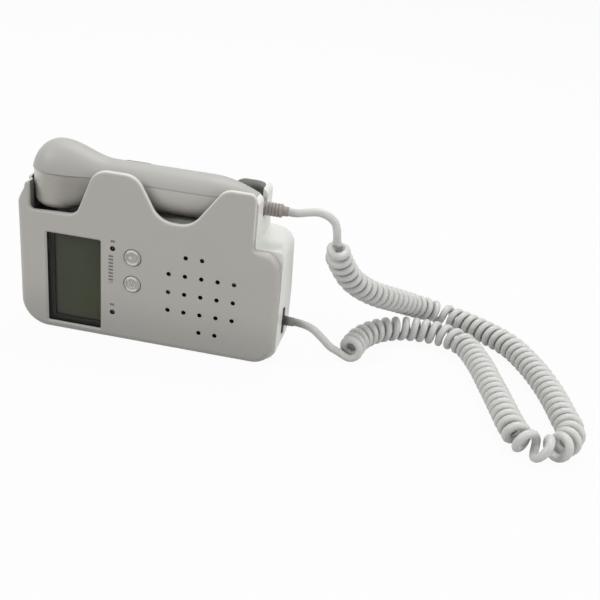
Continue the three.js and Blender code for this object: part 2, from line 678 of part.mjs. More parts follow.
function mainBoard() {
  const [start, end] = [LEFT + BOARD_START, LEFT + BOARD_END];
  const plate = slab(rectangle(start, end, BOARD_BASE, BOARD_TOP, WALL), BOARD_FRONT, BOARD_FRONT + BOARD);
  const clear = bosses.map(([x, z]) => rod('y', [x, 0, z], BOSS_R + WALL / 2 + CLEAR, FRONT, BACK, ROUND_SIDES));
  const corner = bosses.map(([x, z]) => {
    const low = z < BOARD_TOP / 2;
    return box(LEFT, x, FRONT, BACK, low ? 0 : z - BOSS_R - WALL, low ? z + BOSS_R + WALL : TOP);
  });
  return cut(plate, ...clear, corner[0], corner[2]);
}

// The speaker

const SPEAKER_FRONT = FACE_IN + CLEAR;
const speakerPlace = [LEFT + GRILLE_AT, SPEAKER_FRONT, GRILLE_Z];

function speakerFrame() {
  const neck = MAGNET_R + SPEAKER_WALL;
  return turned('y', speakerPlace, [
    [SPEAKER_R - 2 * SPEAKER_FLANGE, 0],
    [SPEAKER_R, 0],
    [SPEAKER_R, SPEAKER_FLANGE],
    [SPEAKER_R - SPEAKER_WALL, SPEAKER_FLANGE + SPEAKER_WALL],
    [neck, SPEAKER_DEPTH],
    [STEM_R * 2, SPEAKER_DEPTH],
    [STEM_R * 2, SPEAKER_DEPTH - SPEAKER_WALL],
    [neck - SPEAKER_WALL, SPEAKER_DEPTH - SPEAKER_WALL],
    [SPEAKER_R - 2 * SPEAKER_FLANGE, SPEAKER_FLANGE + SPEAKER_WALL],
    [SPEAKER_R - 2 * SPEAKER_FLANGE, 0],
  ], FINE_SIDES);
}

function speakerCone() {
  const rim = SPEAKER_R - 2 * SPEAKER_FLANGE - CLEAR;
  const fall = SPEAKER_DEPTH - SPEAKER_WALL - CONE_WALL - 2 * CLEAR;
  return turned('y', speakerPlace, [
    [0, fall / 2],
    [MAGNET_R / 2, fall - CONE_WALL],
    [rim - SPEAKER_FLANGE, CONE_WALL / 2],
    [rim - SPEAKER_FLANGE / 2, 0],
    [rim, CONE_WALL],
    [rim - SPEAKER_FLANGE, 2 * CONE_WALL],
    [MAGNET_R / 2, fall + CONE_WALL / 2],
    [0, fall / 2 + CONE_WALL],
  ], ROUND_SIDES);
}

const speakerMagnet = () => rod(
  'y', speakerPlace, MAGNET_R, SPEAKER_DEPTH + CLEAR, SPEAKER_DEPTH + CLEAR + MAGNET, ROUND_SIDES,
);

// Buttons, switches and lamps

const BUTTON_BEHIND = FACE_IN + CLEAR;
const PLUNGER_TIP = BUTTON_BEHIND + BUTTON_FLANGE + STEM_LONG + CLEAR;
const SWITCH_FRONT = PLUNGER_TIP + CLEAR + BUTTON_TRAVEL;

function button(z) {
  const behind = BUTTON_BEHIND;
  const proud = FRONT - BUTTON_PROUD;
  return turned('y', [LEFT + BUTTON_AT, 0, z], [
    [0, proud],
    [BUTTON_R - BUTTON_PROUD, proud],
    [BUTTON_R - BUTTON_PROUD / 4, proud + BUTTON_PROUD / 4],
    [BUTTON_R, proud + BUTTON_PROUD],
    [BUTTON_R, behind],
    [BUTTON_R + BUTTON_FLANGE, behind],
    [BUTTON_R + BUTTON_FLANGE, behind + BUTTON_FLANGE],
    [STEM_R, behind + BUTTON_FLANGE],
    [STEM_R, PLUNGER_TIP - CLEAR],
    [0, PLUNGER_TIP - CLEAR],
  ], ROUND_SIDES);
}

function keySwitch(z) {
  const x = LEFT + BUTTON_AT;
  const half = SWITCH_SIZE / 2;
  const floor = BOARD_FRONT - CLEAR - CONTACT;
  return cut(
    box(x - half, x + half, SWITCH_FRONT, BOARD_FRONT - CLEAR, z - half, z + half),
    rod('y', [x, 0, z], PLUNGER_R + CLEAR, SWITCH_FRONT - OVERRUN, floor, PIN_SIDES),
  );
}

const plunger = (z) => rod(
  'y', [LEFT + BUTTON_AT, 0, z], PLUNGER_R, PLUNGER_TIP, BOARD_FRONT - 2 * CLEAR - CONTACT - BUTTON_TRAVEL, PIN_SIDES,
);

function lamp(z) {
  const tip = FRONT + CLEAR;
  return turned('y', [LEFT + LAMP_AT, 0, z], [
    [0, tip],
    [LAMP_R * LAMP_TIP_SHARES[0], tip + LAMP_R * LAMP_TIP_SHARES[1]],
    [LAMP_R, tip + LAMP_R],
    [LAMP_R, FACE_IN + CLEAR],
    [LAMP_R * LAMP_FLANGE_SHARE, FACE_IN + CLEAR],
    [LAMP_R * LAMP_FLANGE_SHARE, FACE_IN + CLEAR + LAMP_R],
    [LAMP_R, FACE_IN + CLEAR + LAMP_R],
    [LAMP_R, BOARD_FRONT - CLEAR],
    [0, BOARD_FRONT - CLEAR],
  ], BORE_SIDES);
}

// Batteries and their contacts

const CELL_Y = BAY_FRONT + CLEAR + CELL_R;
const cellRows = [BAY_BASE + CLEAR + CELL_R, BAY_BASE + 2 * CLEAR + 3 * CELL_R];
const CELL_X = BAY_X + CONTACT + CONTACT_SPRING + CLEAR;

// A cell lies along X; turn is 1 with its nub towards the cord end and -1 towards the display end.
function cell(z, turn) {
  const [start, end] = turn > 0 ? [0, CELL] : [CELL + CELL_NUB, CELL_NUB];
  const ease = CONTACT;
  return turned('x', [CELL_X, CELL_Y, z], [
    [0, start],
    [CELL_R - ease, start],
    [CELL_R, start + turn * ease],
    [CELL_R, end - turn * ease],
    [CELL_R - ease, end],
    [CELL_NUB_R, end],
    [CELL_NUB_R, end + turn * CELL_NUB],
    [0, end + turn * CELL_NUB],
  ], CELL_SIDES);
}

function contact(x, towards, rows) {
  const low = Math.min(...rows) - CELL_R + CONTACT;
  const high = Math.max(...rows) + CELL_R - CONTACT;
  const plate = box(x, x + CONTACT, CELL_Y - CELL_R + CONTACT, CELL_Y + CELL_R - CONTACT, low, high);
  const face = towards > 0 ? x + CONTACT : x;
  const springs = rows.map((z) => turned('x', [face - towards * CONTACT / 2, CELL_Y, z], [
    [0, 0],
    [CELL_NUB_R * SPRING_SHARE, 0],
    [CELL_NUB_R, towards * (CONTACT_SPRING + CONTACT / 2)],
    [0, towards * (CONTACT_SPRING + CONTACT / 2)],
  ], SPRING_SIDES));
  return join(plate, ...springs);
}

const CONTACT_LEFT = BAY_X + CLEAR / 2;
const CONTACT_RIGHT = BAY_X + BAY_LONG - CONTACT - CLEAR / 2;

function screw(axis, at, from) {
  return turned(axis, at, [
    [0, from + SCREW_HEAD],
    [SCREW_HEAD_R * SCREW_HEAD_SHARES[0], from + SCREW_HEAD],
    [SCREW_HEAD_R, from + SCREW_HEAD * SCREW_HEAD_SHARES[1]],
    [SCREW_HEAD_R, from],
    [SCREW_R, from],
    [SCREW_R, from - SCREW_LONG + SCREW_R],
    [0, from - SCREW_LONG],
  ], BORE_SIDES);
}

// Gland: a plate in its slot, a neck through the wall, and the boot that the cord leaves by.
const GLAND_TIP = END_FACE + GLAND_PROUD + GLAND_BOOT;

function cableGland() {
  const plate = box(
    END_FACE - GLAND_SUNK + CLEAR, END_FACE + GLAND_PROUD, -GLAND_WIDE / 2, GLAND_WIDE / 2,
    GLAND_Z - GLAND_TALL / 2, GLAND_Z + GLAND_TALL / 2,
  );
  const behind = FRONT_RIGHT - WALL - CLEAR;
  const neck = rod('x', [0, 0, GLAND_Z], CORD_R + CLEAR, behind, END_FACE);
  const flange = rod('x', [0, 0, GLAND_Z], GLAND_BOOT_R + GLAND_PROUD, behind - CONTACT * 2, behind);
  const boot = turned('x', [END_FACE, 0, GLAND_Z], [
    [0, 0],
    [GLAND_BOOT_R, 0],
    [GLAND_BOOT_R, GLAND_PROUD + GLAND_BOOT / 2],
    [CORD_R + CLEAR / 2, GLAND_PROUD + GLAND_BOOT],
    [0, GLAND_PROUD + GLAND_BOOT],
  ], ROD_SIDES);
  return join(plate, neck, flange, boot);
}

// The probe

// How far one form has changed into the next: 1 at the start of a stretch and 0 at its end.
const fade = (share) => Math.cos(Math.min(1, Math.max(0, share)) * Math.PI / 2) ** 2;
const taper = (x) => 1 - Math.cos(Math.min(1, Math.max(0, (x - TAIL_X + TAIL) / TAIL)) * Math.PI / 2);

// Half the width and the height of the probe at x, for a shell whose head has this radius and height.
function reach(x, radius, head, grip, inset) {
  const along = (x - HEAD_X) / (radius - inset);
  if (along <= 0) return (head - inset) * Math.sqrt(Math.max(0, 1 - along * along));
  const body = grip + (head - grip) * fade((x - HEAD_X) / NECK);
  return body - (grip - TAIL_R) * taper(x) - inset;
}

// Places along the probe, closer together where it curves.
function stations(radius, from, to) {
  const places = [HEAD_X - radius * Math.cos(NOSE_SHARE * Math.PI / 2)];
  for (let k = 2; k <= HEAD_STEPS; k += 1) places.push(HEAD_X - radius * Math.cos(k / HEAD_STEPS * Math.PI / 2));
  for (let k = 1; k <= NECK_STEPS; k += 1) places.push(HEAD_X + NECK * k / NECK_STEPS);
  const grip = TAIL_X - TAIL - HEAD_X - NECK;
  for (let k = 1; k <= GRIP_STEPS; k += 1) places.push(HEAD_X + NECK + grip * k / GRIP_STEPS);
  for (let k = 1; k <= TAIL_STEPS; k += 1) places.push(TAIL_X - TAIL + TAIL * k / TAIL_STEPS);
  return places.filter((x) => x >= from && x < to).concat(to);
}

// A skin of rings across X, closed at both ends.
function loft(places, width, up, down, sides) {
  const points = [];
  for (const x of places) {
    for (let k = 0; k < sides; k += 1) {
      const angle = 2 * Math.PI * k / sides;
      const rise = Math.sin(angle);
      points.push(x, width(x) * Math.cos(angle), AXIS + rise * (rise > 0 ? up(x) : down(x)));
    }
  }
  const index = [];
  for (let i = 0; i < places.length - 1; i += 1) {
    for (let k = 0; k < sides; k += 1) {
      const [a, b] = [i * sides + k, i * sides + (k + 1) % sides];
      index.push(a, a + sides, b, b, a + sides, b + sides);
    }
  }
  const last = (places.length - 1) * sides;
  for (let k = 1; k < sides - 1; k += 1) {
    index.push(0, k, k + 1);
    index.push(last, last + k + 1, last + k);
  }
  const geometry = new THREE.BufferGeometry();
  geometry.setAttribute('position', new THREE.Float32BufferAttribute(points, 3));
  geometry.setIndex(index);
  const made = solid(geometry);
  return made.volume() < 0 ? solid(flipped(geometry)) : made;
}

const upperForm = (inset, sides) => loft(
  stations(HEAD_R - inset, LEFT, TAIL_X - inset),
  (x) => reach(x, HEAD_R, HEAD_R, GRIP_HALF, inset),
  (x) => reach(x, HEAD_R, DOME, GRIP_RISE, inset),
  (x) => reach(x, HEAD_R, BELLY, BELLY, inset),
  sides,
);

// The cap's outside and its room: a round foot, sides that taper, open at the seam.
function capForm(inset, sides) {
  const base = AXIS - CAP_HEIGHT + inset;
  const round = CAP_ROUND - inset;
  const side = CAP_R - inset;
  const low = side - CAP_TAPER;
  const turns = [];
  for (let k = 1; k < CAP_STEPS; k += 1) turns.push(k / CAP_STEPS * Math.PI / 2);
  return turned('z', [HEAD_X, 0, 0], [
    [0, base],
    [low - round, base],
    ...turns.map((a) => [low - round + round * Math.sin(a), base + round - round * Math.cos(a)]),
    [low, base + round],
    [side, SEAM + OVERRUN],
    [0, SEAM + OVERRUN],
  ], sides);
}

function lowerForm(inset, sides) {
  const handle = loft(
    stations(CAP_R, HEAD_X, TAIL_X - inset),
    (x) => reach(x, CAP_R, CAP_R, GRIP_HALF, inset),
    (x) => reach(x, CAP_R, DOME, GRIP_RISE, inset),
    (x) => reach(x, CAP_R, BELLY, BELLY, inset),
    sides,
  );
  return join(handle, capForm(inset, SHELL_SIDES));
}

const above = () => box(LEFT - LENGTH, RIGHT + LENGTH, -LENGTH, LENGTH, SEAM + CLEAR / 2, SEAM + LENGTH);
const below = () => box(LEFT - LENGTH, RIGHT + LENGTH, -LENGTH, LENGTH, SEAM - LENGTH, SEAM - CLEAR / 2);
const probeScrews = [HEAD_X + PROBE_SCREW_FIRST, HEAD_X + PROBE_SCREW_FIRST + PROBE_SCREW_PITCH];
const PROBE_SCREW_SEAT = SEAM - SCREW_LONG / 2;
const BOARD_UNDER = AXIS - PROBE_BOARD_DROP - PROBE_BOARD;

function probeUpperShell() {
  const posts = probeScrews.map((x) => rod('z', [x, 0, 0], BOSS_R, SEAM, AXIS + GRIP_RISE - PROBE_WALL / 2));
  const pilots = probeScrews.map((x) => rod(
    'z', [x, 0, 0], SCREW_R + CLEAR, SEAM - OVERRUN, PROBE_SCREW_SEAT + SCREW_LONG + 2 * CLEAR, BORE_SIDES,
  ));
  return cut(
    join(cut(upperForm(0, SHELL_SIDES), upperForm(PROBE_WALL, ROOM_SIDES)), ...posts).intersect(above()),
    ...pilots,
  );
}

function probeLowerShell() {
  const posts = probeScrews.map((x) =>
    rod('z', [x, 0, 0], BOSS_R + PROBE_WALL, AXIS - BELLY + PROBE_WALL / 2, SEAM));
  const shafts = probeScrews.map((x) => join(
    rod('z', [x, 0, 0], SCREW_R + CLEAR, AXIS - BELLY, SEAM + OVERRUN, BORE_SIDES),
    rod('z', [x, 0, 0], SCREW_HEAD_R + CLEAR, AXIS - BELLY - OVERRUN, PROBE_SCREW_SEAT),
  ));
  const middle = (probeScrews[0] + probeScrews[1]) / 2;
  const ribs = [-1, 1].map((side) => box(
    middle + side * PROBE_BOARD_LONG / 3 - PROBE_WALL / 2, middle + side * PROBE_BOARD_LONG / 3 + PROBE_WALL / 2,
    -GRIP_HALF, GRIP_HALF, AXIS - BELLY, BOARD_UNDER - CLEAR,
  ).intersect(lowerForm(PROBE_WALL / 2, ROOM_SIDES)));
  return cut(
    join(cut(lowerForm(0, SHELL_SIDES), lowerForm(PROBE_WALL, ROOM_SIDES)), ...posts, ...ribs).intersect(below()),
    ...shafts,
    rod('x', [0, 0, RELIEF_Z], RELIEF_NECK_R + CLEAR, TAIL_X - 2 * PROBE_WALL, TAIL_X + OVERRUN),
    rod('z', [HEAD_X, 0, 0], DISC_R + CLEAR, 0, AXIS - CAP_HEIGHT + PROBE_WALL + OVERRUN, SHELL_SIDES),
  );
}

const FACE_TOP = AXIS - CAP_HEIGHT + PROBE_WALL + CLEAR;
const CRYSTAL_BASE = FACE_TOP + CONTACT * 2 + CLEAR;

const probeFace = () => turned('z', [HEAD_X, 0, 0], [
  [0, AXIS - CAP_HEIGHT],
  [DISC_R, AXIS - CAP_HEIGHT + CLEAR / 2],
  [DISC_R, FACE_TOP],
  [DISC_R + DISC_STEP, FACE_TOP],
  [DISC_R + DISC_STEP, FACE_TOP + CONTACT * 2],
  [0, FACE_TOP + CONTACT * 2],
], SHELL_SIDES);

function crystal(side) {
  const disc = rod('z', [HEAD_X, 0, 0], CRYSTAL_R, CRYSTAL_BASE, CRYSTAL_BASE + CRYSTAL, SHELL_SIDES);
  const [x0, x1] = [HEAD_X + side * CRYSTAL_GAP / 2, HEAD_X + side * CRYSTAL_R * 2];
  return disc.intersect(box(Math.min(x0, x1), Math.max(x0, x1), -HEAD_R, HEAD_R, 0, AXIS));
}

const crystalBacking = () => rod(
  'z', [HEAD_X, 0, 0], DISC_R + DISC_STEP, CRYSTAL_BASE + CRYSTAL + CLEAR,
  CRYSTAL_BASE + CRYSTAL + CLEAR + BACKING, SHELL_SIDES,
);

function probeBoard() {
  const middle = (probeScrews[0] + probeScrews[1]) / 2;
  return box(
    middle - PROBE_BOARD_LONG / 2, middle + PROBE_BOARD_LONG / 2, -PROBE_BOARD_WIDE / 2, PROBE_BOARD_WIDE / 2,
    BOARD_UNDER, BOARD_UNDER + PROBE_BOARD,
  );
}

const RELIEF_START = TAIL_X + CLEAR;
const RELIEF_TIP = RELIEF_START + RELIEF_LONG + RELIEF_END;

function probeStrainRelief() {
  const inner = TAIL_X - PROBE_WALL - CLEAR;
  return turned('x', [0, 0, RELIEF_Z], [
    [0, inner - RELIEF_FLANGE],
    [RELIEF_NECK_R + RELIEF_FLANGE, inner - RELIEF_FLANGE],
    [RELIEF_NECK_R + RELIEF_FLANGE, inner],
    [RELIEF_NECK_R, inner],
    [RELIEF_NECK_R, RELIEF_START],
    [RELIEF_R, RELIEF_START],
    [RELIEF_R, RELIEF_START + RELIEF_LONG - CONTACT],
    [RELIEF_R - CONTACT, RELIEF_START + RELIEF_LONG],
    [RELIEF_END_R, RELIEF_START + RELIEF_LONG],
    [CORD_R + CLEAR, RELIEF_TIP],
    [0, RELIEF_TIP],
  ], ROD_SIDES);
}

// The cord: a plain stretch from the probe, the curls, and a plain stretch to the case.
// The routes are chosen by hand, and their points are places in millimetres.

const coilRoute = [
  [93.5, 0.4, 69.7],
  [93.8, 1.6, 64.5],
  [95.4, 4.6, 58.5],
  [98.3, 8.4, 51.5],
  [102, 13, 44.5],
  [107.5, 19, 38],
  [115.5, 28, 31],
  [126, 42, 23],
  [139, 59, 13.2],
  [153, 66, 7.8],
  [167, 60.5, 7.2],
  [180.5, 52, 7.2],
  [193, 40.5, 7.2],
  [203.5, 22, 7.2],
  [212.3, -1.5, 7.2],
  [217.8, -24, 7.2],
  [220.5, -40, 7.2],
  [214, -53.5, 7.2],
  [205, -57, 7.2],
  [196, -50.5, 7.2],
  [191.3, -38.5, 7.2],
  [187.5, -24.5, 7.2],
  [182, -5, 7.2],
  [175, 17.5, 7.2],
  [167, 33.5, 7.2],
  [155, 40.5, 7.2],
  [141.5, 41.5, 7.2],
  [129, 38.5, 7.2],
  [118, 30.5, 7.2],
  [110.5, 18.5, 7.2],
  [107.2, 3.5, 7.2],
];

const curveOf = (route) => new THREE.CatmullRomCurve3(route.map((p) => new THREE.Vector3(...p)));

// Points on the coil's axis, evenly spaced, with the direction there and how sharply the axis bends.
function axisOf(curve, count) {
  const places = curve.getSpacedPoints(count);
  const long = curve.getLength();
  const ahead = places.map((_, i) => places[Math.min(count, i + 1)].clone().sub(places[Math.max(0, i - 1)]).normalize());
  const window = Math.max(1, Math.round(CURL_R / long * count));
  const bend = places.map((_, i) => {
    const [a, b] = [Math.max(0, i - window), Math.min(count, i + window)];
    return ahead[a].angleTo(ahead[b]) / ((b - a) * long / count);
  });
  return { places, ahead, bend, step: long / count };
}

// The curls: one helix round the axis, whose pitch opens where the axis bends.
function curlyLine() {
  const count = 1600;
  const { places, ahead, bend, step } = axisOf(curveOf(coilRoute), count);
  const turns = [0];
  for (let i = 1; i <= count; i += 1) {
    const pitch = (2 * CORD_R + CURL_GAP) / Math.max(1 / CURL_SIDES, 1 - CURL_OPEN * CURL_R * bend[i]);
    turns.push(turns[i - 1] + step / pitch);
  }
  // The side direction is carried along the axis from the end by the case, where the cord leaves it below.
  const side = new Array(count + 1);
  side[count] = ahead[count].clone().cross(new THREE.Vector3(0, 0, 1)).normalize();
  for (let i = count - 1; i >= 0; i -= 1) {
    side[i] = side[i + 1].clone().addScaledVector(ahead[i], -side[i + 1].dot(ahead[i])).normalize();
  }
  const total = turns[count];
  const line = [];
  let i = 0;
  const steps = Math.floor(total * CURL_STEPS);
  for (let k = 0; k <= steps; k += 1) {
    const turn = total - (steps - k) / CURL_STEPS;
    while (i < count - 1 && turns[i + 1] < turn) i += 1;
    const share = (turn - turns[i]) / (turns[i + 1] - turns[i]);
    const middle = places[i].clone().lerp(places[i + 1], share);
    const across = side[i];
    const up = across.clone().cross(ahead[i]);
    const angle = CURL_LIFT - Math.PI / 2 + 2 * Math.PI * (turn - total);
    const radius = CURL_R * Math.min(1, turn) ** 1.5;
    line.push(middle.addScaledVector(across, radius * Math.cos(angle)).addScaledVector(up, radius * Math.sin(angle)));
  }
  const round = new THREE.Vector3(0, 0, 1).multiplyScalar(Math.sin(CURL_LIFT))
    .addScaledVector(side[count], Math.cos(CURL_LIFT));
  const pitch = step / (turns[count] - turns[count - 1]);
  const end = round.multiplyScalar(2 * Math.PI * CURL_R).addScaledVector(ahead[count], pitch).normalize();
  return { line, start: ahead[0], end };
}

// A tube of one ring at each point, square to the line there.
function tube(line, radius, sides) {
  const points = [];
  let side = null;
  line.forEach((p, i) => {
    const ahead = line[Math.min(line.length - 1, i + 1)].clone().sub(line[Math.max(0, i - 1)]).normalize();
    if (side === null) side = new THREE.Vector3(0, 1, 0);
    side = side.clone().addScaledVector(ahead, -side.dot(ahead)).normalize();
    const up = ahead.clone().cross(side);
    for (let k = 0; k < sides; k += 1) {
      const angle = 2 * Math.PI * k / sides;
      const at = p.clone().addScaledVector(side, radius * Math.cos(angle)).addScaledVector(up, radius * Math.sin(angle));
      points.push(at.x, at.y, at.z);
    }
  });
  const index = [];
  for (let i = 0; i < line.length - 1; i += 1) {
    for (let k = 0; k < sides; k += 1) {
      const [a, b] = [i * sides + k, i * sides + (k + 1) % sides];
      index.push(a, b, a + sides, b, b + sides, a + sides);
    }
  }
  const last = (line.length - 1) * sides;
  for (let k = 1; k < sides - 1; k += 1) {
    index.push(0, k + 1, k);
    index.push(last, last + k, last + k + 1);
  }
  const geometry = new THREE.BufferGeometry();
  geometry.setAttribute('position', new THREE.Float32BufferAttribute(points, 3));
  geometry.setIndex(index);
  geometry.computeVertexNormals();
  return geometry;
}

// The least gap of a line of this radius to itself, leaving out half a curl's length next to each point.
function leastGap(line, radius) {
  let least = Infinity;
  const nearest = new THREE.Vector3();
  const along = [0];
  for (let i = 1; i < line.length; i += 1) along.push(along[i - 1] + line[i].distanceTo(line[i - 1]));
  for (let i = 0; i < line.length; i += 1) {
    for (let j = i + 1; j < line.length - 1; j += 1) {
      if (along[j] - along[i] < Math.PI * CURL_R) continue;
      new THREE.Line3(line[j], line[j + 1]).closestPointToPoint(line[i], true, nearest);
      least = Math.min(least, nearest.distanceTo(line[i]) - 2 * radius);
    }
  }
  return least;
}

const { line: curls, start: curlStart, end: curlEnd } = curlyLine();
const coilLine = [
  curls[0].clone().addScaledVector(curlStart, -2 * CORD_R),
  ...curls,
  curls[curls.length - 1].clone().addScaledVector(curlEnd, 2 * CORD_R),
];
console.log(`curls: ${(curls.length / CURL_STEPS).toFixed(1)}`);
console.log(`least gap of the curly cord to itself: ${leastGap(coilLine, CORD_R).toFixed(3)} mm`);

const coilTop = coilLine[0];
const probeEndRoute = [
  [RELIEF_TIP + CLEAR, 0, RELIEF_Z],
  [RELIEF_TIP + CLEAR + 2 * CORD_R, 0, RELIEF_Z],
  [78, 0, 82.5],
  [83.5, 0, 83.2],
  [88.5, 0, 81.7],
  [91.8, 0.1, 78.7],
  coilTop.clone().addScaledVector(curlStart, -CLEAR - CORD_R).toArray(),
  coilTop.clone().addScaledVector(curlStart, -CLEAR).toArray(),
];

const coilTip = coilLine[coilLine.length - 1];
const unitEndRoute = [
  coilTip.clone().addScaledVector(curlEnd, CLEAR).toArray(),
  coilTip.clone().addScaledVector(curlEnd, CLEAR + CORD_R).toArray(),
  [96.5, 1.5, 8.4],
  [91, 0.6, 13.9],
  [85.4, 0.1, 18.3],
  [GLAND_TIP + CLEAR + CORD_R, 0, GLAND_Z],
  [GLAND_TIP + CLEAR, 0, GLAND_Z],
];

function plainCord(route, steps) {
  const ring = [];
  for (let k = 0; k < CORD_SIDES; k += 1) {
    const angle = 2 * Math.PI * k / CORD_SIDES;
    ring.push(new THREE.Vector2(CORD_R * Math.cos(angle), CORD_R * Math.sin(angle)));
  }
  return closed(new THREE.ExtrudeGeometry(new THREE.Shape(ring), { extrudePath: curveOf(route), steps }));
}

// Finishes

const finish = (color, roughness, metalness = 0) => new THREE.MeshStandardMaterial({ color, roughness, metalness });
const finishes = {
  cover: finish(0xa6a39b, 0.55),
  housing: finish(0xd5d6d1, 0.5),
  probe: finish(0xb7b6b1, 0.45),
  cap: finish(0xa3a099, 0.5),
  button: finish(0xa09d96, 0.6),
  lens: finish(0x484a3c, 0.15),
  black: finish(0x26261f, 0.6),
  glass: finish(0x5a6050, 0.2),
  white: finish(0xe8e8e4, 0.6),
  board: finish(0x2f6b3c, 0.55),
  steel: finish(0xb8babc, 0.35, 1),
  brass: finish(0xc9b37a, 0.4, 1),
  paper: finish(0x2b2b2b, 0.9),
  cell: finish(0x35383d, 0.4),
  crystal: finish(0xd8cfb4, 0.4),
  foam: finish(0x3c3a38, 0.95),
  rubber: finish(0x75756f, 0.8),
  cord: finish(0xc8c8c2, 0.5),
};

const part = new THREE.Group();

function add(name, material, shape) {
  const geometry = shape instanceof Manifold ? geometryOf(shape) : shape;
  const mesh = new THREE.Mesh(geometry, finishes[material]);
  mesh.name = name;
  part.add(mesh);
}

add('front_cover', 'cover', frontCover());
add('rear_housing', 'housing', rearHousing());
add('battery_cover', 'housing', batteryCover());
add('lcd_lens', 'lens', lcdLens());
add('lcd_bezel', 'black', lcdBezel());
add('lcd_panel', 'glass', lcdPanel());
add('lcd_holder', 'white', lcdHolder());
add('main_board', 'board', mainBoard());
add('speaker_frame', 'steel', speakerFrame());
add('speaker_cone', 'paper', speakerCone());
add('speaker_magnet', 'steel', speakerMagnet());
for (const [name, z] of Object.entries(buttonPlaces)) {
  add(`button_${name}`, 'button', button(z));
  add(`switch_${name}`, 'black', keySwitch(z));
  add(`plunger_${name}`, 'white', plunger(z));
}
for (const [name, z] of Object.entries(lampPlaces)) add(`lamp_${name}`, 'lens', lamp(z));
add('cell_lower', 'cell', cell(cellRows[0], 1));
add('cell_upper', 'cell', cell(cellRows[1], -1));
add('contact_link', 'brass', contact(CONTACT_LEFT, 1, cellRows));
add('contact_plus', 'brass', contact(CONTACT_RIGHT, -1, [cellRows[0]]));
add('contact_minus', 'brass', contact(CONTACT_RIGHT, -1, [cellRows[1]]));
bosses.forEach(([x, z], k) => add(`case_screw_${k + 1}`, 'steel', screw('y', [x, 0, z], SCREW_SEAT + CLEAR)));
add('cable_gland', 'rubber', cableGland());
add('probe_upper_shell', 'probe', probeUpperShell());
add('probe_lower_shell', 'cap', probeLowerShell());
add('probe_face', 'white', probeFace());
add('crystal_transmit', 'crystal', crystal(-1));
add('crystal_receive', 'crystal', crystal(1));
add('crystal_backing', 'foam', crystalBacking());
add('probe_board', 'board', probeBoard());
probeScrews.forEach((x, k) => {
  const upright = screw('z', [0, 0, 0], 0).mirror([0, 0, 1]).translate([x, 0, PROBE_SCREW_SEAT - CLEAR]);
  add(`probe_screw_${k + 1}`, 'steel', upright);
});
add('probe_strain_relief', 'rubber', probeStrainRelief());
add('cord_probe_end', 'cord', plainCord(probeEndRoute, PROBE_END_STEPS));
add('cord_coil', 'cord', tube(coilLine, CORD_R, CURL_SIDES));
add('cord_unit_end', 'cord', plainCord(unitEndRoute, UNIT_END_STEPS));

export default part;
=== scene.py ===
# Fetal doppler monitor: the looks of its pieces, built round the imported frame.
#
# Lengths are in millimetres until a mesh is made. X runs from the display end to the cord end, Y from
# the front to the back, Z up from the side that the unit stands on.
import bisect
import math

import bmesh
import bpy
from mathutils import Matrix, Vector


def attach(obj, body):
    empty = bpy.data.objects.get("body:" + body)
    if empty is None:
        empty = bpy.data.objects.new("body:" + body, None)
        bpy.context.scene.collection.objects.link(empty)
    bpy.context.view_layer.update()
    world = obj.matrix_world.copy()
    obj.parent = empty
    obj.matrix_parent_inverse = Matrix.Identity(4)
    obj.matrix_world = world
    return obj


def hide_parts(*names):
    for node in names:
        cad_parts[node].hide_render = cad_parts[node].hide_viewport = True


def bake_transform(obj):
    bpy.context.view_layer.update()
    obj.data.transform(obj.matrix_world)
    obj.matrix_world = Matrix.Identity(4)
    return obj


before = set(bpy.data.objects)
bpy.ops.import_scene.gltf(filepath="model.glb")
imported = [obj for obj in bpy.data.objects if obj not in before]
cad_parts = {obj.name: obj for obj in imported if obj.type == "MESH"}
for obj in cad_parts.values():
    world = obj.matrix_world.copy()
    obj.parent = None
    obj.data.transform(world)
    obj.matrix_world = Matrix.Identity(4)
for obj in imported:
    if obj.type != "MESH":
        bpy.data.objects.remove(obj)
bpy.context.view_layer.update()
MM = 0.001
scene = bpy.context.scene
scene.view_settings.view_transform = "Standard"


# The camera: its place and its axes, fitted to the photograph

EYE = Vector((0.1402, -0.4198, 0.2396))
RIGHTWARDS = Vector((0.97689, 0.19142, 0.09514))
UPWARDS = Vector((-0.16827, 0.41418, 0.89451))
AHEAD = Vector((-0.13182, 0.88984, -0.43681))
LENS = 54
SENSOR = 36
NEAREST = 0.01


def placed(name, data):
    thing = bpy.data.objects.new(name, data)
    scene.collection.objects.link(thing)
    return thing


def add_camera():
    data = bpy.data.cameras.new("camera")
    camera = placed("camera", data)
    columns = (RIGHTWARDS, UPWARDS, -AHEAD, EYE)
    rows = [[column[i] for column in columns] for i in range(3)]
    camera.matrix_world = Matrix((*rows, (0, 0, 0, 1)))
    data.lens = LENS
    data.sensor_width = SENSOR
    data.clip_start = NEAREST
    scene.camera = camera


add_camera()


# Sizes of the unit

CLEAR = 0.3  # between pieces that fit into each other
OVERRUN = 3  # how far what cuts a solid runs past it
LENGTH = 141.6
DEPTH = 35
LEFT = -LENGTH / 2
RIGHT = LENGTH / 2
FRONT = -DEPTH / 2
BACK = DEPTH / 2
WALL = 2.2
FACE = 2.4
BACK_WALL = 2.4
DECK = 2
RIM = 5.2  # of the front cover, from its face back to the parting
DRAFT = 1.4
FACE_IN = FRONT + FACE
BACK_IN = BACK - BACK_WALL
PARTING = FRONT + RIM
FRONT_RIGHT = RIGHT - DRAFT
END_FACE = RIGHT - DRAFT * BACK / (BACK - PARTING)
BOARD_FRONT = -6.5

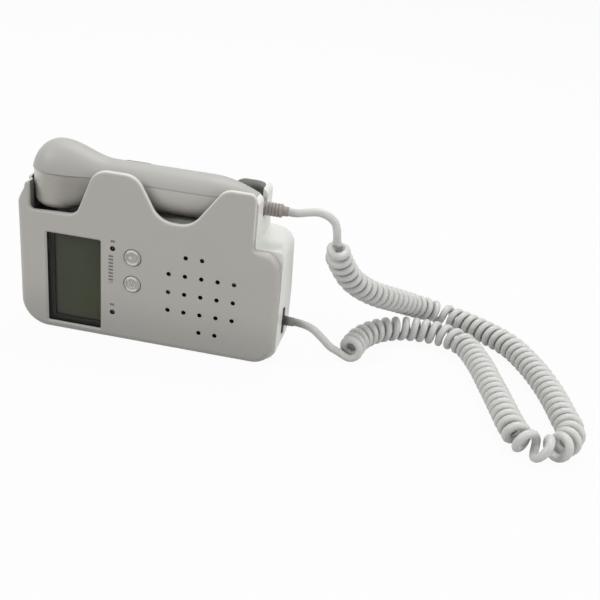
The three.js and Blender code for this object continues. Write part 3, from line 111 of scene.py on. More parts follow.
# The holster: its floor, its end wall and the wavy edge of its side walls
HOLSTER_END = 126.1
END_WALL = 2.3
END_WALL_X = LEFT + HOLSTER_END - END_WALL
END_STEP = 0.8
FLOOR = 63
TOP = 104.15
LIP = FLOOR + 4.9
LIP_FALL = 1.1
VALLEY = FLOOR + 8.5
CREST = FLOOR + 30.4
REAR_CREST = CREST - 3.4
POST = FLOOR + 26
SHOULDER = FLOOR + 0.2
REAR_SHOULDER = FLOOR + 4.2
SHOULDER_LEAN = 1.5
LEAN_START = 33
POCKET_X = LEFT + 6.9
POCKET_END = LEFT + 0.2553 * HOLSTER_END
CREST_1 = [LEFT + 0.3354 * HOLSTER_END, LEFT + 0.5083 * HOLSTER_END]
VALLEYS = [LEFT + 0.6043 * HOLSTER_END, LEFT + 0.7367 * HOLSTER_END]
CREST_2 = LEFT + 0.8652 * HOLSTER_END

# The front's openings
WINDOW = (LEFT + 15.9, LEFT + 45.4, 4.9, 55.8)
WINDOW_ROUND = 0.8
BEVEL = 0.9  # round the window, in the front's face
LENS_THICK = 1
REBATE = 1.2
BUTTON_X = LEFT + 62.9
BUTTON_LEVELS = {"lower": 34.6, "upper": 49.5}
BUTTON_R = 4.4
BUTTON_GAP = 0.3
LAMP_X = LEFT + 52.1
LAMP_LEVELS = {"lower": 16.2, "upper": 52.7}
LAMP_R = 1.1
GRILLE_X = LEFT + 99.7
GRILLE_Z = 33.6
GRILLE_PITCH = (8.65, 10.3)
GRILLE_R = 1.2
GRILLE_ROWS = [[-1, 0], [-2, -1, 0, 1, 2], [-2, -1, 0, 1, 2], [-2, -1, 0, 1, 2], [0, 1]]

# The probe and its relief, the cord and its gland
AXIS = 82.35
HEAD_X = -52.8
HEAD_R = 15.2
CAP_R = 14.5
RELIEF_Z = 81.05
RELIEF_START = 52.1
RELIEF_LONG = 12.4
RELIEF_END = 3.2
RELIEF_TIP = RELIEF_START + RELIEF_LONG + RELIEF_END
GLAND_Z = 20
GLAND_TIP = 76.1
CORD_R = 2.1
CORD_SIDES = 12
CURL_R = 4.9
CURL_GAP = 0.66  # between turns where the coil is straight
CURL_OPEN = 1.2  # how much more the curls open in a bend than its curve asks for
CURL_LEAST = 5  # the most that a bend opens them, as a multiple
CURL_LIFT = 0.45  # the angle at which the last curl leaves for the case
CURL_EASE = 1.5  # how fast the first curl opens from the axis
CURL_RINGS = 16
AXIS_POINTS = 1600
SPACING_PARTS = 200


# Meshes

SHARP = 32  # the angle from which two faces meet in an edge


def new_mesh(name, points, faces):
    mesh = bpy.data.meshes.new(name)
    mesh.from_pydata([tuple(c * MM for c in p) for p in points], [], faces)
    return mesh


def stack(rings):
    """A skin over rings of as many points each, with a face at both ends."""
    count = len(rings[0])
    points = [p for ring in rings for p in ring]
    faces = []
    for i in range(len(rings) - 1):
        for k in range(count):
            a, b = i * count + k, i * count + (k + 1) % count
            faces.append((a, b, b + count, a + count))
    last = (len(rings) - 1) * count
    faces.append(tuple(reversed(range(count))))
    faces.append(tuple(range(last, last + count)))
    return points, faces


def outward(mesh):
    """The mesh with all its faces turned outwards."""
    work = bmesh.new()
    work.from_mesh(mesh)
    bmesh.ops.recalc_face_normals(work, faces=work.faces)
    work.to_mesh(mesh)
    work.free()
    return mesh


# The cord: one line from the strain relief through the curls to the gland

COIL_ROUTE = [
    (93.5, .4, 69.7), (93.8, 1.6, 64.5), (95.4, 4.6, 58.5), (98.3, 8.4, 51.5), (102, 13, 44.5),
    (107.5, 19, 38), (115.5, 28, 31), (126, 42, 23), (139, 59, 13.2), (153, 66, 7.8), (167, 60.5, 7.2),
    (180.5, 52, 7.2), (193, 40.5, 7.2), (203.5, 22, 7.2), (212.3, -1.5, 7.2), (217.8, -24, 7.2),
    (220.5, -40, 7.2), (214, -53.5, 7.2), (205, -57, 7.2), (196, -50.5, 7.2), (191.3, -38.5, 7.2),
    (187.5, -24.5, 7.2), (182, -5, 7.2), (175, 17.5, 7.2), (167, 33.5, 7.2), (155, 40.5, 7.2),
    (141.5, 41.5, 7.2), (129, 38.5, 7.2), (118, 30.5, 7.2), (110.5, 18.5, 7.2), (107.2, 3.5, 7.2),
]


class Curve:
    """A smooth line through points, and places at even distances along it."""

    def __init__(self, points):
        self.points = [Vector(p) for p in points]
        samples = [self.at(k / SPACING_PARTS) for k in range(SPACING_PARTS + 1)]
        self.lengths = [0]
        for a, b in zip(samples, samples[1:]):
            self.lengths.append(self.lengths[-1] + (b - a).length)
        self.length = self.lengths[-1]

    def at(self, share):
        points = self.points
        last = len(points) - 1
        place = share * last
        index = min(int(place), last - 1)
        weight = place - index
        before = points[index - 1] if index > 0 else 2 * points[0] - points[1]
        after = points[index + 2] if index + 2 <= last else 2 * points[last] - points[last - 1]
        around = [before, points[index], points[index + 1], after]
        steps = [math.sqrt((b - a).length) for a, b in zip(around, around[1:])]
        d0, d1, d2 = steps
        p0, p1, p2, p3 = around
        m1 = ((p1 - p0) / d0 - (p2 - p0) / (d0 + d1) + (p2 - p1) / d1) * d1
        m2 = ((p2 - p1) / d1 - (p3 - p1) / (d1 + d2) + (p3 - p2) / d2) * d1
        square = weight * weight
        cube = square * weight
        return (
            p1 * (2 * cube - 3 * square + 1) + m1 * (cube - 2 * square + weight)
            + p2 * (3 * square - 2 * cube) + m2 * (cube - square)
        )

    def along(self, share):
        target = share * self.length
        index = min(max(bisect.bisect_right(self.lengths, target) - 1, 0), SPACING_PARTS - 1)
        low, high = self.lengths[index], self.lengths[index + 1]
        return self.at((index + (target - low) / (high - low)) / SPACING_PARTS)

    def even(self, count):
        return [self.along(k / count) for k in range(count + 1)]


def curly_line():
    curve = Curve(COIL_ROUTE)
    count = AXIS_POINTS
    places = curve.even(count)
    step = curve.length / count
    ahead = [
        (places[min(count, i + 1)] - places[max(0, i - 1)]).normalized() for i in range(count + 1)
    ]
    window = max(1, round(CURL_R / step))
    turns = [0]
    for i in range(1, count + 1):
        a, b = max(0, i - window), min(count, i + window)
        bend = ahead[a].angle(ahead[b]) / ((b - a) * step)
        pitch = (2 * CORD_R + CURL_GAP) / max(1 / CURL_LEAST, 1 - CURL_OPEN * CURL_R * bend)
        turns.append(turns[-1] + step / pitch)
    side = [None] * (count + 1)
    side[count] = ahead[count].cross(Vector((0, 0, 1))).normalized()
    for i in range(count - 1, -1, -1):
        side[i] = (side[i + 1] - ahead[i] * side[i + 1].dot(ahead[i])).normalized()
    total = turns[count]
    steps = int(total * CURL_RINGS)
    line = []
    i = 0
    for k in range(steps + 1):
        turn = total - (steps - k) / CURL_RINGS
        while i < count - 1 and turns[i + 1] < turn:
            i += 1
        share = (turn - turns[i]) / (turns[i + 1] - turns[i])
        middle = places[i].lerp(places[i + 1], share)
        angle = CURL_LIFT - math.pi / 2 + math.tau * (turn - total)
        radius = CURL_R * min(1, turn) ** CURL_EASE
        up = side[i].cross(ahead[i])
        line.append(middle + side[i] * radius * math.cos(angle) + up * radius * math.sin(angle))
    around = Vector((0, 0, math.sin(CURL_LIFT))) + side[count] * math.cos(CURL_LIFT)
    pitch = step / (turns[count] - turns[count - 1])
    end = (around * math.tau * CURL_R + ahead[count] * pitch).normalized()
    return line, ahead[0], end


def cord_line():
    curls, start, end = curly_line()
    top = curls[0] - start * 2 * CORD_R
    tip = curls[-1] + end * 2 * CORD_R
    from_probe = Curve([
        (RELIEF_TIP - CORD_R, 0, RELIEF_Z),
        (RELIEF_TIP + 2 * CORD_R, 0, RELIEF_Z),
        (78, 0, 82.5), (83.5, 0, 83.2), (88.5, 0, 81.7), (91.8, .1, 78.7),
        top, curls[0],
    ])
    to_case = Curve([
        curls[-1], tip,
        (96.5, 1.5, 8.4), (91, .6, 13.9), (85.4, .1, 18.3),
        (GLAND_TIP + CORD_R, 0, GLAND_Z),
        (GLAND_TIP - CORD_R, 0, GLAND_Z),
    ])
    return from_probe.even(44)[:-1] + curls + to_case.even(40)[1:]


def tube(name, line, radius, sides):
    rings = []
    side = Vector((0, 1, 0))
    for i, p in enumerate(line):
        ahead = (line[min(len(line) - 1, i + 1)] - line[max(0, i - 1)]).normalized()
        side = (side - ahead * side.dot(ahead)).normalized()
        up = ahead.cross(side)
        turns = [math.tau * k / sides for k in range(sides)]
        rings.append([p + side * radius * math.cos(a) + up * radius * math.sin(a) for a in turns])
    return outward(new_mesh(name, *stack(rings)))


def length_of(line):
    return sum((b - a).length for a, b in zip(line, line[1:]))


CORD_LINE = cord_line()
cord = placed("curly_cord", tube("curly_cord", CORD_LINE, CORD_R, CORD_SIDES))
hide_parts("cord_probe_end", "cord_coil", "cord_unit_end")
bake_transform(cord)
round(length_of(CORD_LINE) * MM, 2)
[p * MM for p in CORD_LINE]
print("cord length, mm:", round(length_of(CORD_LINE)))


# Finishes

class Value:
    """A number in a material. An expression on it adds Math nodes."""

    def __init__(self, finish, socket):
        self.finish = finish
        self.socket = socket

    def math(self, operation, *others, flip=False):
        values = (*others, self) if flip else (self, *others)
        return self.finish.node("ShaderNodeMath", {"operation": operation}, dict(enumerate(values)))

    def __add__(self, other):
        return self.math("ADD", other)

    def __mul__(self, other):
        return self.math("MULTIPLY", other)

    def __sub__(self, other):
        return self.math("SUBTRACT", other)

    def __rsub__(self, other):
        return self.math("SUBTRACT", other, flip=True)

    def __truediv__(self, other):
        return self.math("DIVIDE", other)

    def __abs__(self):
        return self.math("ABSOLUTE")

    def most(self, other):
        return self.math("MAXIMUM", other)

    def rising(self, start, end):
        return self.finish.ranged(self, start, end)

    def fading(self, start, end, strength=1):
        return self.finish.ranged(self, start, end, strength, 0)

    def above(self, limit, soft):
        """1 over a limit and 0 under it, softly."""
        return self.rising(limit - soft, limit + soft)

    def below(self, limit, soft):
        return self.fading(limit - soft, limit + soft)

    def off_middle(self, pitch):
        """How far it is from the middle of its step, as a share of the pitch of the steps."""
        return abs((self / pitch).math("FRACT") - 0.5)


class Finish:
    """The nodes of a material or of the world."""

    def __init__(self, tree):
        self.tree = tree
        tree.nodes.clear()

    def node(self, kind, settings=None, inputs=None, output=0):
        node = self.tree.nodes.new(kind)
        for key, value in (settings or {}).items():
            setattr(node, key, value)
        for key, value in (inputs or {}).items():
            socket = node.inputs[key]
            if isinstance(value, Value):
                self.tree.links.new(value.socket, socket)
            else:
                socket.default_value = value
        return Value(self, node.outputs[output]) if node.outputs else node

    def vector_math(self, operation, *values, output=0):
        return self.node("ShaderNodeVectorMath", {"operation": operation}, dict(enumerate(values)), output)

    def millimetres(self):
        place = self.node("ShaderNodeTexCoord", output="Object")
        return self.vector_math("MULTIPLY", place, (1 / MM,) * 3)

    def parts(self, vector):
        split = self.node("ShaderNodeSeparateXYZ", None, {0: vector})
        return [Value(self, out) for out in split.socket.node.outputs]

    def facing(self):
        """How squarely the surface faces the front or the back."""
        return abs(self.parts(self.node("ShaderNodeNewGeometry", output="Normal"))[1])

    def closed_in(self, gap, low, high, strength):
        """The strength where things stand within a gap of the surface on all sides, 0 in the open."""
        open_air = self.node(
            "ShaderNodeAmbientOcclusion", {"samples": 6}, {"Distance": gap * MM}, output="AO",
        )
        return open_air.fading(low, high, strength)

    def seen_directly(self):
        """1 for what is seen, also through a pane or in a gloss, 0 for the light that it sheds."""
        rays = [
            self.node("ShaderNodeLightPath", output=f"Is {kind} Ray")
            for kind in ("Camera", "Glossy", "Transmission")
        ]
        return rays[0].most(rays[1]).most(rays[2])

    def noise(self, vector, scale, detail=2.0, rough=0.5):
        return self.node("ShaderNodeTexNoise", {}, {
            "Vector": vector, "Scale": scale, "Detail": detail, "Roughness": rough,
        })

    def ranged(self, value, low, high, to_low=0.0, to_high=1.0):
        return self.node("ShaderNodeMapRange", {"interpolation_type": "SMOOTHSTEP"}, {
            0: value, 1: low, 2: high, 3: to_low, 4: to_high,
        })

    def mixed(self, factor, first, second):
        return self.node("ShaderNodeMix", {"data_type": "RGBA"}, {0: factor, 6: first, 7: second}, output=2)

    def bump(self, height, strength, distance):
        return self.node("ShaderNodeBump", {}, {
            "Strength": strength, "Distance": distance * MM, "Height": height,
        })

    def surface(self, **inputs):
        shader = self.node("ShaderNodeBsdfPrincipled", {}, {
            key.replace("_", " "): value for key, value in inputs.items()
        })
        self.node("ShaderNodeOutputMaterial", {}, {"Surface": shader})


def material(name):
    made = bpy.data.materials.new(name)
    made.use_nodes = True
    return made, Finish(made.node_tree)


def linear(level):
    return level / 12.92 if level <= 0.04045 else ((level + 0.055) / 1.055) ** 2.4


def colour(red, green, blue):
    """A colour from its levels of 0 to 255, as a screen shows them."""
    return (*(linear(level / 255) for level in (red, green, blue)), 1)


def shaded(tone, by):
    return (*(min(1, c * by) for c in tone[:3]), 1)


# A dark brown laid as painted shade in hollows, creases, hole walls and the gland's slot.
PAINTED_SHADE = colour(30, 27, 23)
# Grey of the print, also used for painted shade low on the front and for darker cord ends.
INK_AND_SHADE = colour(92, 92, 93)
# A pale grey for the keys' raised signs, and for painted light on the probe's lower shell.
PALE = colour(214, 213, 208)
# The pale of a painted highlight along the rounded rim of the holster's wavy edge.
PAINTED_HIGHLIGHT = colour(224, 221, 214)
SHADE_REACH = 16  # how far apart the holster's walls may be and still get painted shade
# How close the cord's turns lie where they get painted shade.
CREASE_SHADE_REACH = 3
CUP_INSIDE = HEAD_R + CLEAR + 0.4
MID_HOLSTER = (LEFT + END_WALL_X) / 2
# Height under which the holster's walls get painted shade.
SHADE_TOP = 87.5
LIGHTER_ENDS = 0.55  # of the painted shade on the holster's walls, all along but at the holster's two ends


def holster_painted_shade(finish, at, hollow_shade, lining_shade):
    """Painted shade on what faces into the holster: the cup round the head, and the trough right of the
    post.
    """
    x, y, z = finish.parts(at)
    from_head = (x - HEAD_X) * (x - HEAD_X) + y * y
    in_cup = from_head.below(CUP_INSIDE ** 2, 4)
    within = abs(y).below(BACK_IN + 0.1, 0.1) * x.below(END_WALL_X, 0.1) * z.above(FLOOR - 1, 0.5)
    within = within * in_cup.most(x.above(POCKET_X - 0.35, 0.15))
    ends = finish.ranged(abs(x - MID_HOLSTER), 50, 54, LIGHTER_ENDS, 1)
    # Painted shade over the holster's walls, lighter at its two ends.
    painted_lining = z.below(SHADE_TOP, 2) * ends * lining_shade
    # Painted shade is darkest where walls close in on a place.
    return finish.closed_in(SHADE_REACH, 0.12, 0.9, hollow_shade).most(painted_lining) * within


def moulded(name, tone, rough, grain=0.25, hollow_shade=0.0, lining_shade=0.0, marks=None):
    """Moulded plastic: a fine spark-eroded grain, with faint clouds in its colour.

    The first shade setting is how much painted shade darkens what lies deep in the holster, the second how
    much painted shade darkens its walls all over, and marks lays print, wear or painted light over the
    colour.
    """
    made, finish = material(name)
    at = finish.millimetres()
    clouds = finish.noise(at, 0.06, 3.0)
    pores = finish.noise(at, 1 / 0.9, 2.0, 0.6)
    specks = finish.noise(at, 3.1, 1.0)
    darker = shaded(tone, 0.97)
    base = finish.mixed(clouds, darker, shaded(tone, 1.03))
    base = finish.mixed(pores.rising(0.3, 0.7) * 0.5, base, darker)
    if marks:
        base = marks(finish, at, base)
    # Painted shade deep in the holster.
    if hollow_shade:
        base = finish.mixed(holster_painted_shade(finish, at, hollow_shade, lining_shade), base, PAINTED_SHADE)
    finish.surface(
        Base_Color=base,
        Roughness=finish.ranged(specks, 0.25, 0.75, rough - 0.05, rough + 0.05),
        Normal=finish.bump(pores, grain, 0.05),
    )
    return made


def metal(name, tone, rough):
    made, finish = material(name)
    at = finish.millimetres()
    scratches = finish.noise(at, 1.2, 4.0, 0.6)
    clouds = finish.noise(at, 0.2, 2.0)
    finish.surface(
        Base_Color=finish.mixed(clouds, shaded(tone, 0.9), shaded(tone, 1.06)),
        Metallic=1.0,
        Roughness=finish.ranged(scratches, 0.3, 0.7, rough - 0.07, rough + 0.1),
        Normal=finish.bump(scratches, 0.15, 0.02),
    )
    return made


def rubber(name, tone, rough, coat=0.0, crease_shade=0.0, marks=None):
    """Rubber with a faint bloom. The crease setting is how much painted shade darkens it where turns lie
    close together.
    """
    made, finish = material(name)
    at = finish.millimetres()
    bloom = finish.noise(at, 0.35, 4.0, 0.6)
    fine = finish.noise(at, 4.0, 2.0)
    base = finish.mixed(bloom, shaded(tone, 0.93), shaded(tone, 1.07))
    if marks:
        base = marks(finish, at, base)
    # Painted shade where the turns lie close together.
    if crease_shade:
        base = finish.mixed(finish.closed_in(CREASE_SHADE_REACH, 0.1, 0.7, crease_shade), base, PAINTED_SHADE)
    finish.surface(
        Base_Color=base,
        Roughness=finish.ranged(bloom, 0.3, 0.7, rough - 0.06, rough + 0.08),
        Coat_Weight=coat,
        Coat_Roughness=0.4,
        Normal=finish.bump(fine, 0.2, 0.03),
    )
    return made


def laminate(name, tone):
    """Circuit board: copper tracks under green lacquer, with the glass weave faintly through it."""
    made, finish = material(name)
    at = finish.millimetres()
    tracks = finish.noise(finish.vector_math("MULTIPLY", at, (0.25, 0.25, 1.6)), 0.9, 1.0)
    lines = abs(tracks - 0.5).fading(0.02, 0.035)
    weave = finish.noise(at, 1.8, 2.0)
    base = finish.mixed(lines, tone, shaded(tone, 1.9))
    base = finish.mixed(weave * 0.25, base, shaded(tone, 0.6))
    finish.surface(
        Base_Color=base, Roughness=finish.ranged(weave, 0.3, 0.7, 0.3, 0.45),
        Normal=finish.bump(lines, 0.3, 0.03),
    )
    return made


def patch(finish, at, x0, x1, z0, z1, soft=0.15):
    """1 inside a rectangle of the front, 0 outside it."""
    x, _, z = finish.parts(at)
    across = abs(x - (x0 + x1) / 2).below((x1 - x0) / 2, soft)
    return across * abs(z - (z0 + z1) / 2).below((z1 - z0) / 2, soft)


TICK_PITCH = 1.9
TICK_HALF = 0.3  # of the pitch
TICKS = (-20.8, -18.3, 33.4, 49.6)
BARS = [(-19.9, -17.6, 20.2, 21.5), (-19.7, -17.4, 56.2, 57.5)]
PRINTED = 0.85
BORE_SHADE_AREA = (-21.4, 50, 9, 60)  # where the holes are whose walls get painted shade
# Painted shade that darkens the front towards its lower edge, and the heights over which it fades.
LOW_SHADE = 0.22
LOW_SHADE_SPAN = (4, 32)
# Where the painted highlight on the holster's rim starts, and its strength.
HIGHLIGHT_FROM = 67.5
HIGHLIGHT_SHARE = 0.62


def front_print_and_shading(finish, at, base):
    """Grey print by the lamps: a scale of plain ticks, and a short bar over each lamp.

    Painted shade darkens the front towards its lower edge and on the walls of its holes, and a painted
    highlight lays the holster's edge pale.
    """
    x, y, z = finish.parts(at)
    scale = patch(finish, at, *TICKS) * z.off_middle(TICK_PITCH).below(TICK_HALF, 0.04)
    bars = patch(finish, at, *BARS[0]).most(patch(finish, at, *BARS[1]))
    on_face = y.below(FRONT + 0.55, 0.05)
    base = finish.mixed(scale.most(bars) * on_face * PRINTED, base, INK_AND_SHADE)
    # Painted shade, darker towards the front's lower edge.
    base = finish.mixed(z.fading(*LOW_SHADE_SPAN, LOW_SHADE), base, INK_AND_SHADE)
    facing = finish.facing()
    # Painted shade on the walls of the holes.
    bore_shade = facing.fading(0.5, 0.9) * patch(finish, at, *BORE_SHADE_AREA, soft=1)
    base = finish.mixed(bore_shade * y.above(FRONT + 0.25, 0.15), base, PAINTED_SHADE)
    # A painted highlight on the rounded rim of the holster's wavy edge, above the lip.
    highlit_rim = facing.fading(0.5, 0.93) * z.rising(HIGHLIGHT_FROM, HIGHLIGHT_FROM + 3)
    highlit_rim = highlit_rim * x.rising(POCKET_X + 1, POCKET_X + 4) * y.below(FRONT + 2, 0.4)
    return finish.mixed(highlit_rim * HIGHLIGHT_SHARE, base, PAINTED_HIGHLIGHT)


def cap_painted_light(finish, at, base):
    """Painted light on the lower shell: paler at the cap's outer side and along the handle, and greyer with
    painted shade between.
    """
    x, _, _ = finish.parts(at)
    from_head = x - HEAD_X
    # Painted light on the cap's outer side and along the handle, and painted shade between them.
    outer = from_head.fading(-11, -2, 0.75)
    painted_belly_light = finish.ranged(from_head, 18, 34, 0, 0.2)
    greyer = finish.ranged(from_head, -2, 9, 0, 0.24) * from_head.fading(14, 28)
    return finish.mixed(greyer, finish.mixed(outer.most(painted_belly_light), base, PALE), PAINTED_SHADE)


def slot_painted_shade(finish, at, base):
    """Painted shade: the gland's plate is dark down in its slot, fading to none by the boot's tip."""
    x, _, _ = finish.parts(at)
    return finish.mixed(x.fading(RIGHT + 0.1, GLAND_TIP - 1, 0.9), base, PAINTED_SHADE)


def cord_end_darkening(finish, at, base):
    """The cord is darker where it leaves the probe, as painted shade, and darker for a short way where it
    leaves the case.
    """
    x, _, z = finish.parts(at)
    # Painted shade just past the relief.
    painted_shade_by_probe = x.fading(RELIEF_TIP, RELIEF_TIP + 8, 0.35)
    by_case = x.fading(GLAND_TIP, GLAND_TIP + 11, 0.8) * z.fading(30, 40)
    return finish.mixed(painted_shade_by_probe.most(by_case), base, INK_AND_SHADE)


def key_print(finish, at, base):
    """The raised signs on the keys, worn paler."""
    x, y, _ = finish.parts(at)
    raised = abs(x - BUTTON_X).below(2.6, 0.05) * y.below(FRONT - 0.47, 0.03)
    return finish.mixed(raised * 0.85, base, PALE)


def window_pane(name):
    """A clear pane, faintly smoked, with fine scuffs in its gloss."""
    made, finish = material(name)
    scuffs = finish.noise(finish.millimetres(), 0.5, 5.0, 0.7)
    finish.surface(
        Base_Color=finish.mixed(scuffs, colour(20, 22, 18), colour(34, 36, 30)),
        Roughness=finish.ranged(scuffs, 0.35, 0.75, 0.06, 0.16),
        Specular_IOR_Level=0.28,
        Alpha=finish.ranged(scuffs, 0.4, 0.8, 0.1, 0.16),
    )
    return made


FIELD = (-50.2, -27.1, 9.4, 53.4)
ROW_PITCH = 4.2


def display_glass(name):
    """The panel: a grey-green field within a paler edge, with faint rows, and paler at its left."""
    made, finish = material(name)
    at = finish.millimetres()
    x, _, z = finish.parts(at)
    field = patch(finish, at, *FIELD, soft=0.25)
    clouds = finish.noise(at, 0.05, 3.0)
    rows = z.off_middle(ROW_PITCH).rising(0.4, 0.5)
    base = finish.mixed(field, colour(88, 90, 76), colour(80, 84, 62))
    base = finish.mixed(clouds * 0.6, base, colour(72, 76, 58))
    base = finish.mixed(rows * field * 0.12, base, colour(60, 64, 50))
    base = finish.mixed(x.fading(FIELD[0] - 4, FIELD[0] + 12, 0.55), base, colour(80, 82, 78))
    finish.surface(
        Base_Color=base, Roughness=finish.ranged(clouds, 0.3, 0.7, 0.28, 0.36), Specular_IOR_Level=0.3,
    )
    return made


FINISHES = {
    # The shells' finishes lay painted shade inside the holster.
    "cover": moulded(
        "cover_plastic", colour(178, 175, 169), 0.5, hollow_shade=0.9, lining_shade=0.4, marks=front_print_and_shading,
    ),
    "housing": moulded("housing_plastic", colour(221, 222, 217), 0.48, hollow_shade=0.95, lining_shade=0.85),
    "probe": moulded("probe_plastic", colour(165, 164, 160), 0.5),
    "cap": moulded("probe_cap_plastic", colour(168, 164, 157), 0.5, marks=cap_painted_light),
    "button": moulded("key_rubber", colour(170, 167, 160), 0.62, marks=key_print),
    "lens": window_pane("display_window"),
    "smoked": moulded("smoked_lamp", colour(22, 19, 17), 0.42, grain=0.0),
    "black": moulded("black_plastic", colour(25, 25, 22), 0.6),
    "glass": display_glass("display_glass"),
    "white": moulded("white_plastic", colour(226, 226, 222), 0.5),
    "board": laminate("circuit_board", colour(38, 96, 54)),
    "steel": metal("steel", colour(186, 188, 190), 0.34),
    "brass": metal("nickelled_brass", colour(206, 192, 150), 0.36),
    "paper": rubber("cone_paper", colour(46, 44, 42), 0.9),
    "cell": moulded("cell_sleeve", colour(54, 58, 66), 0.35),
    "crystal": moulded("ceramic_crystal", colour(214, 206, 182), 0.4),
    "foam": rubber("backing_foam", colour(58, 56, 54), 0.92),
    "rubber": rubber("relief_rubber", colour(148, 140, 135), 0.6),
    # The gland's finish paints shade down in its slot.
    "gland": rubber("gland_rubber", colour(128, 125, 121), 0.6, marks=slot_painted_shade),
    # The cord's finish lays painted shade where its turns lie close, and darkens its ends.
    "cord": rubber(
        "cord_jacket", colour(196, 196, 193), 0.42, coat=0.15, crease_shade=0.65, marks=cord_end_darkening,
    ),
}


def give(piece, slot):
    piece.data.materials.clear()
    piece.data.materials.append(FINISHES[slot])


NODES_OF = {
    "black": ["lcd_bezel", "switch_lower", "switch_upper"],
    "glass": ["lcd_panel"],
    "white": ["lcd_holder", "plunger_lower", "plunger_upper"],
    "board": ["main_board", "probe_board"],
    "steel": ["speaker_frame", "speaker_magnet"],
    "paper": ["speaker_cone"],
    "brass": ["contact_link", "contact_plus", "contact_minus"],
    "crystal": ["crystal_transmit", "crystal_receive"],
    "foam": ["crystal_backing"],
}
for slot, names in NODES_OF.items():
    for name in names:
        give(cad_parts[name], slot)
give(cord, "cord")
for face in cord.data.polygons:
    face.use_smooth = True


# Outlines and solids

def rounded(corners, fine=4, longest=5):
    """An outline with round corners from (across, up, radius, edge): points of (across, up, edge)."""
    count = len(corners)
    points = []
    for i, (x, z, radius, edge) in enumerate(corners):
        here = Vector((x, z))
        back = (Vector(corners[i - 1][:2]) - here).normalized()
        on = (Vector(corners[(i + 1) % count][:2]) - here).normalized()
        half = math.acos(max(-1, min(1, back.dot(on)))) / 2
        if radius == 0 or math.pi / 2 - half < 0.001:
            points.append((x, z, edge))
            continue
        middle = here + (back + on).normalized() * radius / math.sin(half)
        arm = here + back * radius / math.tan(half) - middle
        turn = (math.pi - 2 * half) * (1 if back.x * on.y < back.y * on.x else -1)
        start = math.atan2(arm.y, arm.x)
        steps = max(2, math.ceil(abs(turn) * math.sqrt(radius) * fine))
        for k in range(steps + 1):
            angle = start + turn * k / steps
            points.append((middle.x + radius * math.cos(angle), middle.y + radius * math.sin(angle), edge))
    outline = []
    for a, b in zip(points, points[1:] + points[:1]):
        pieces = max(1, math.ceil(math.dist(a[:2], b[:2]) / longest))
        for k in range(pieces):
            outline.append(tuple(p + (q - p) * k / pieces for p, q in zip(a, b)))
    return outline


def inset(outline, share):
    """The outline moved in by this share of each point's own edge."""
    moved = []
    for i, (x, z, edge) in enumerate(outline):
        before = Vector(outline[i - 1][:2])
        after = Vector(outline[(i + 1) % len(outline)][:2])
        here = Vector((x, z))
        a = (here - before).normalized()
        b = (after - here).normalized()
        way = Vector((-a.y - b.y, a.x + b.x)).normalized()
        reach = 1 / max(0.5, way.dot(Vector((-a.y, a.x))))
        moved.append(here + way * reach * edge * share)
    return moved


def slab(outline, y0, y1, front=False, back=False, steps=6):
    """An outline made solid from y0 to y1; its front or back edges are rounded by its points' edges."""
    rings = []
    turns = [math.pi / 2 * k / steps for k in range(steps + 1)]
    for y, way, is_round in ((y0, 1, front), (y1, -1, back)):
        if not is_round:
            rings.append([(p.x, y, p.y) for p in inset(outline, 0)])
            continue
        for a in turns[::way]:
            moved = inset(outline, 1 - math.sin(a))
            rings.append([
                (p.x, y + way * o[2] * (1 - math.cos(a)), p.y) for p, o in zip(moved, outline)
            ])
    return outward(new_mesh("slab", *stack(rings)))


def rectangle(x0, x1, z0, z1, radius=0, edge=0, fine=4):
    corners = [(x0, z0), (x1, z0), (x1, z1), (x0, z1)]
    return rounded([(x, z, radius, edge) for x, z in corners], fine, max(x1 - x0, z1 - z0) + 1)


def around(middle, half):
    return middle - half, middle + half


def box(x0, x1, y0, y1, z0, z1):
    return slab(rectangle(x0, x1, z0, z1), y0, y1)


def column(points, z0, z1):
    """A plan of (x, y) made solid from z0 to z1."""
    rings = [[(x, y, z) for x, y in points] for z in (z0, z1)]
    return outward(new_mesh("column", *stack(rings)))


def bar(points, x0, x1):
    """A section of (y, z) made solid from x0 to x1."""
    rings = [[(x, y, z) for y, z in points] for x in (x0, x1)]
    return outward(new_mesh("bar", *stack(rings)))


def turned(axis, at, profile, sides=48):
    """A profile of (radius, distance) turned about an axis through a point."""
    axes = [Vector(a) for a in ((1, 0, 0), (0, 1, 0), (0, 0, 1))]
    w, u, v = (axes[("xyz".index(axis) + k) % 3] for k in range(3))
    at = Vector(at)
    points, faces, rings = [], [], []
    wraps = profile[0] == profile[-1]
    for radius, distance in (profile[:-1] if wraps else profile):
        if radius == 0:
            rings.append([len(points)])
            points.append(at + w * distance)
            continue
        rings.append(list(range(len(points), len(points) + sides)))
        for k in range(sides):
            a = math.tau * k / sides
            points.append(at + u * radius * math.cos(a) + v * radius * math.sin(a) + w * distance)
    pairs = list(zip(rings, rings[1:])) + ([(rings[-1], rings[0])] if wraps else [])
    for a, b in pairs:
        for k in range(sides):
            n = (k + 1) % sides
            corners = [a[k % len(a)], a[n % len(a)], b[n % len(b)], b[k % len(b)]]
            face = tuple(dict.fromkeys(corners))
            if len(face) > 2:
                faces.append(face)
    return outward(new_mesh("turned", points, faces))


def rod(axis, at, radius, start, end, sides=48):
    return turned(axis, at, [(0, start), (radius, start), (radius, end), (0, end)], sides)


def hole(x, z, radius, chamfer, sides=48):
    """What cuts a round hole with a chamfered mouth through the front."""
    return turned("y", (x, 0, z), [
        (0, FRONT - OVERRUN), (radius + chamfer + OVERRUN, FRONT - OVERRUN), (radius + chamfer, FRONT),
        (radius, FRONT + chamfer), (radius, FACE_IN + OVERRUN), (0, FACE_IN + OVERRUN),
    ], sides)


def gathered(*meshes):
    """Solids that stay clear of each other, as one mesh."""
    work = bmesh.new()
    for mesh in meshes:
        work.from_mesh(mesh)
    made = bpy.data.meshes.new("gathered")
    work.to_mesh(made)
    work.free()
    return made


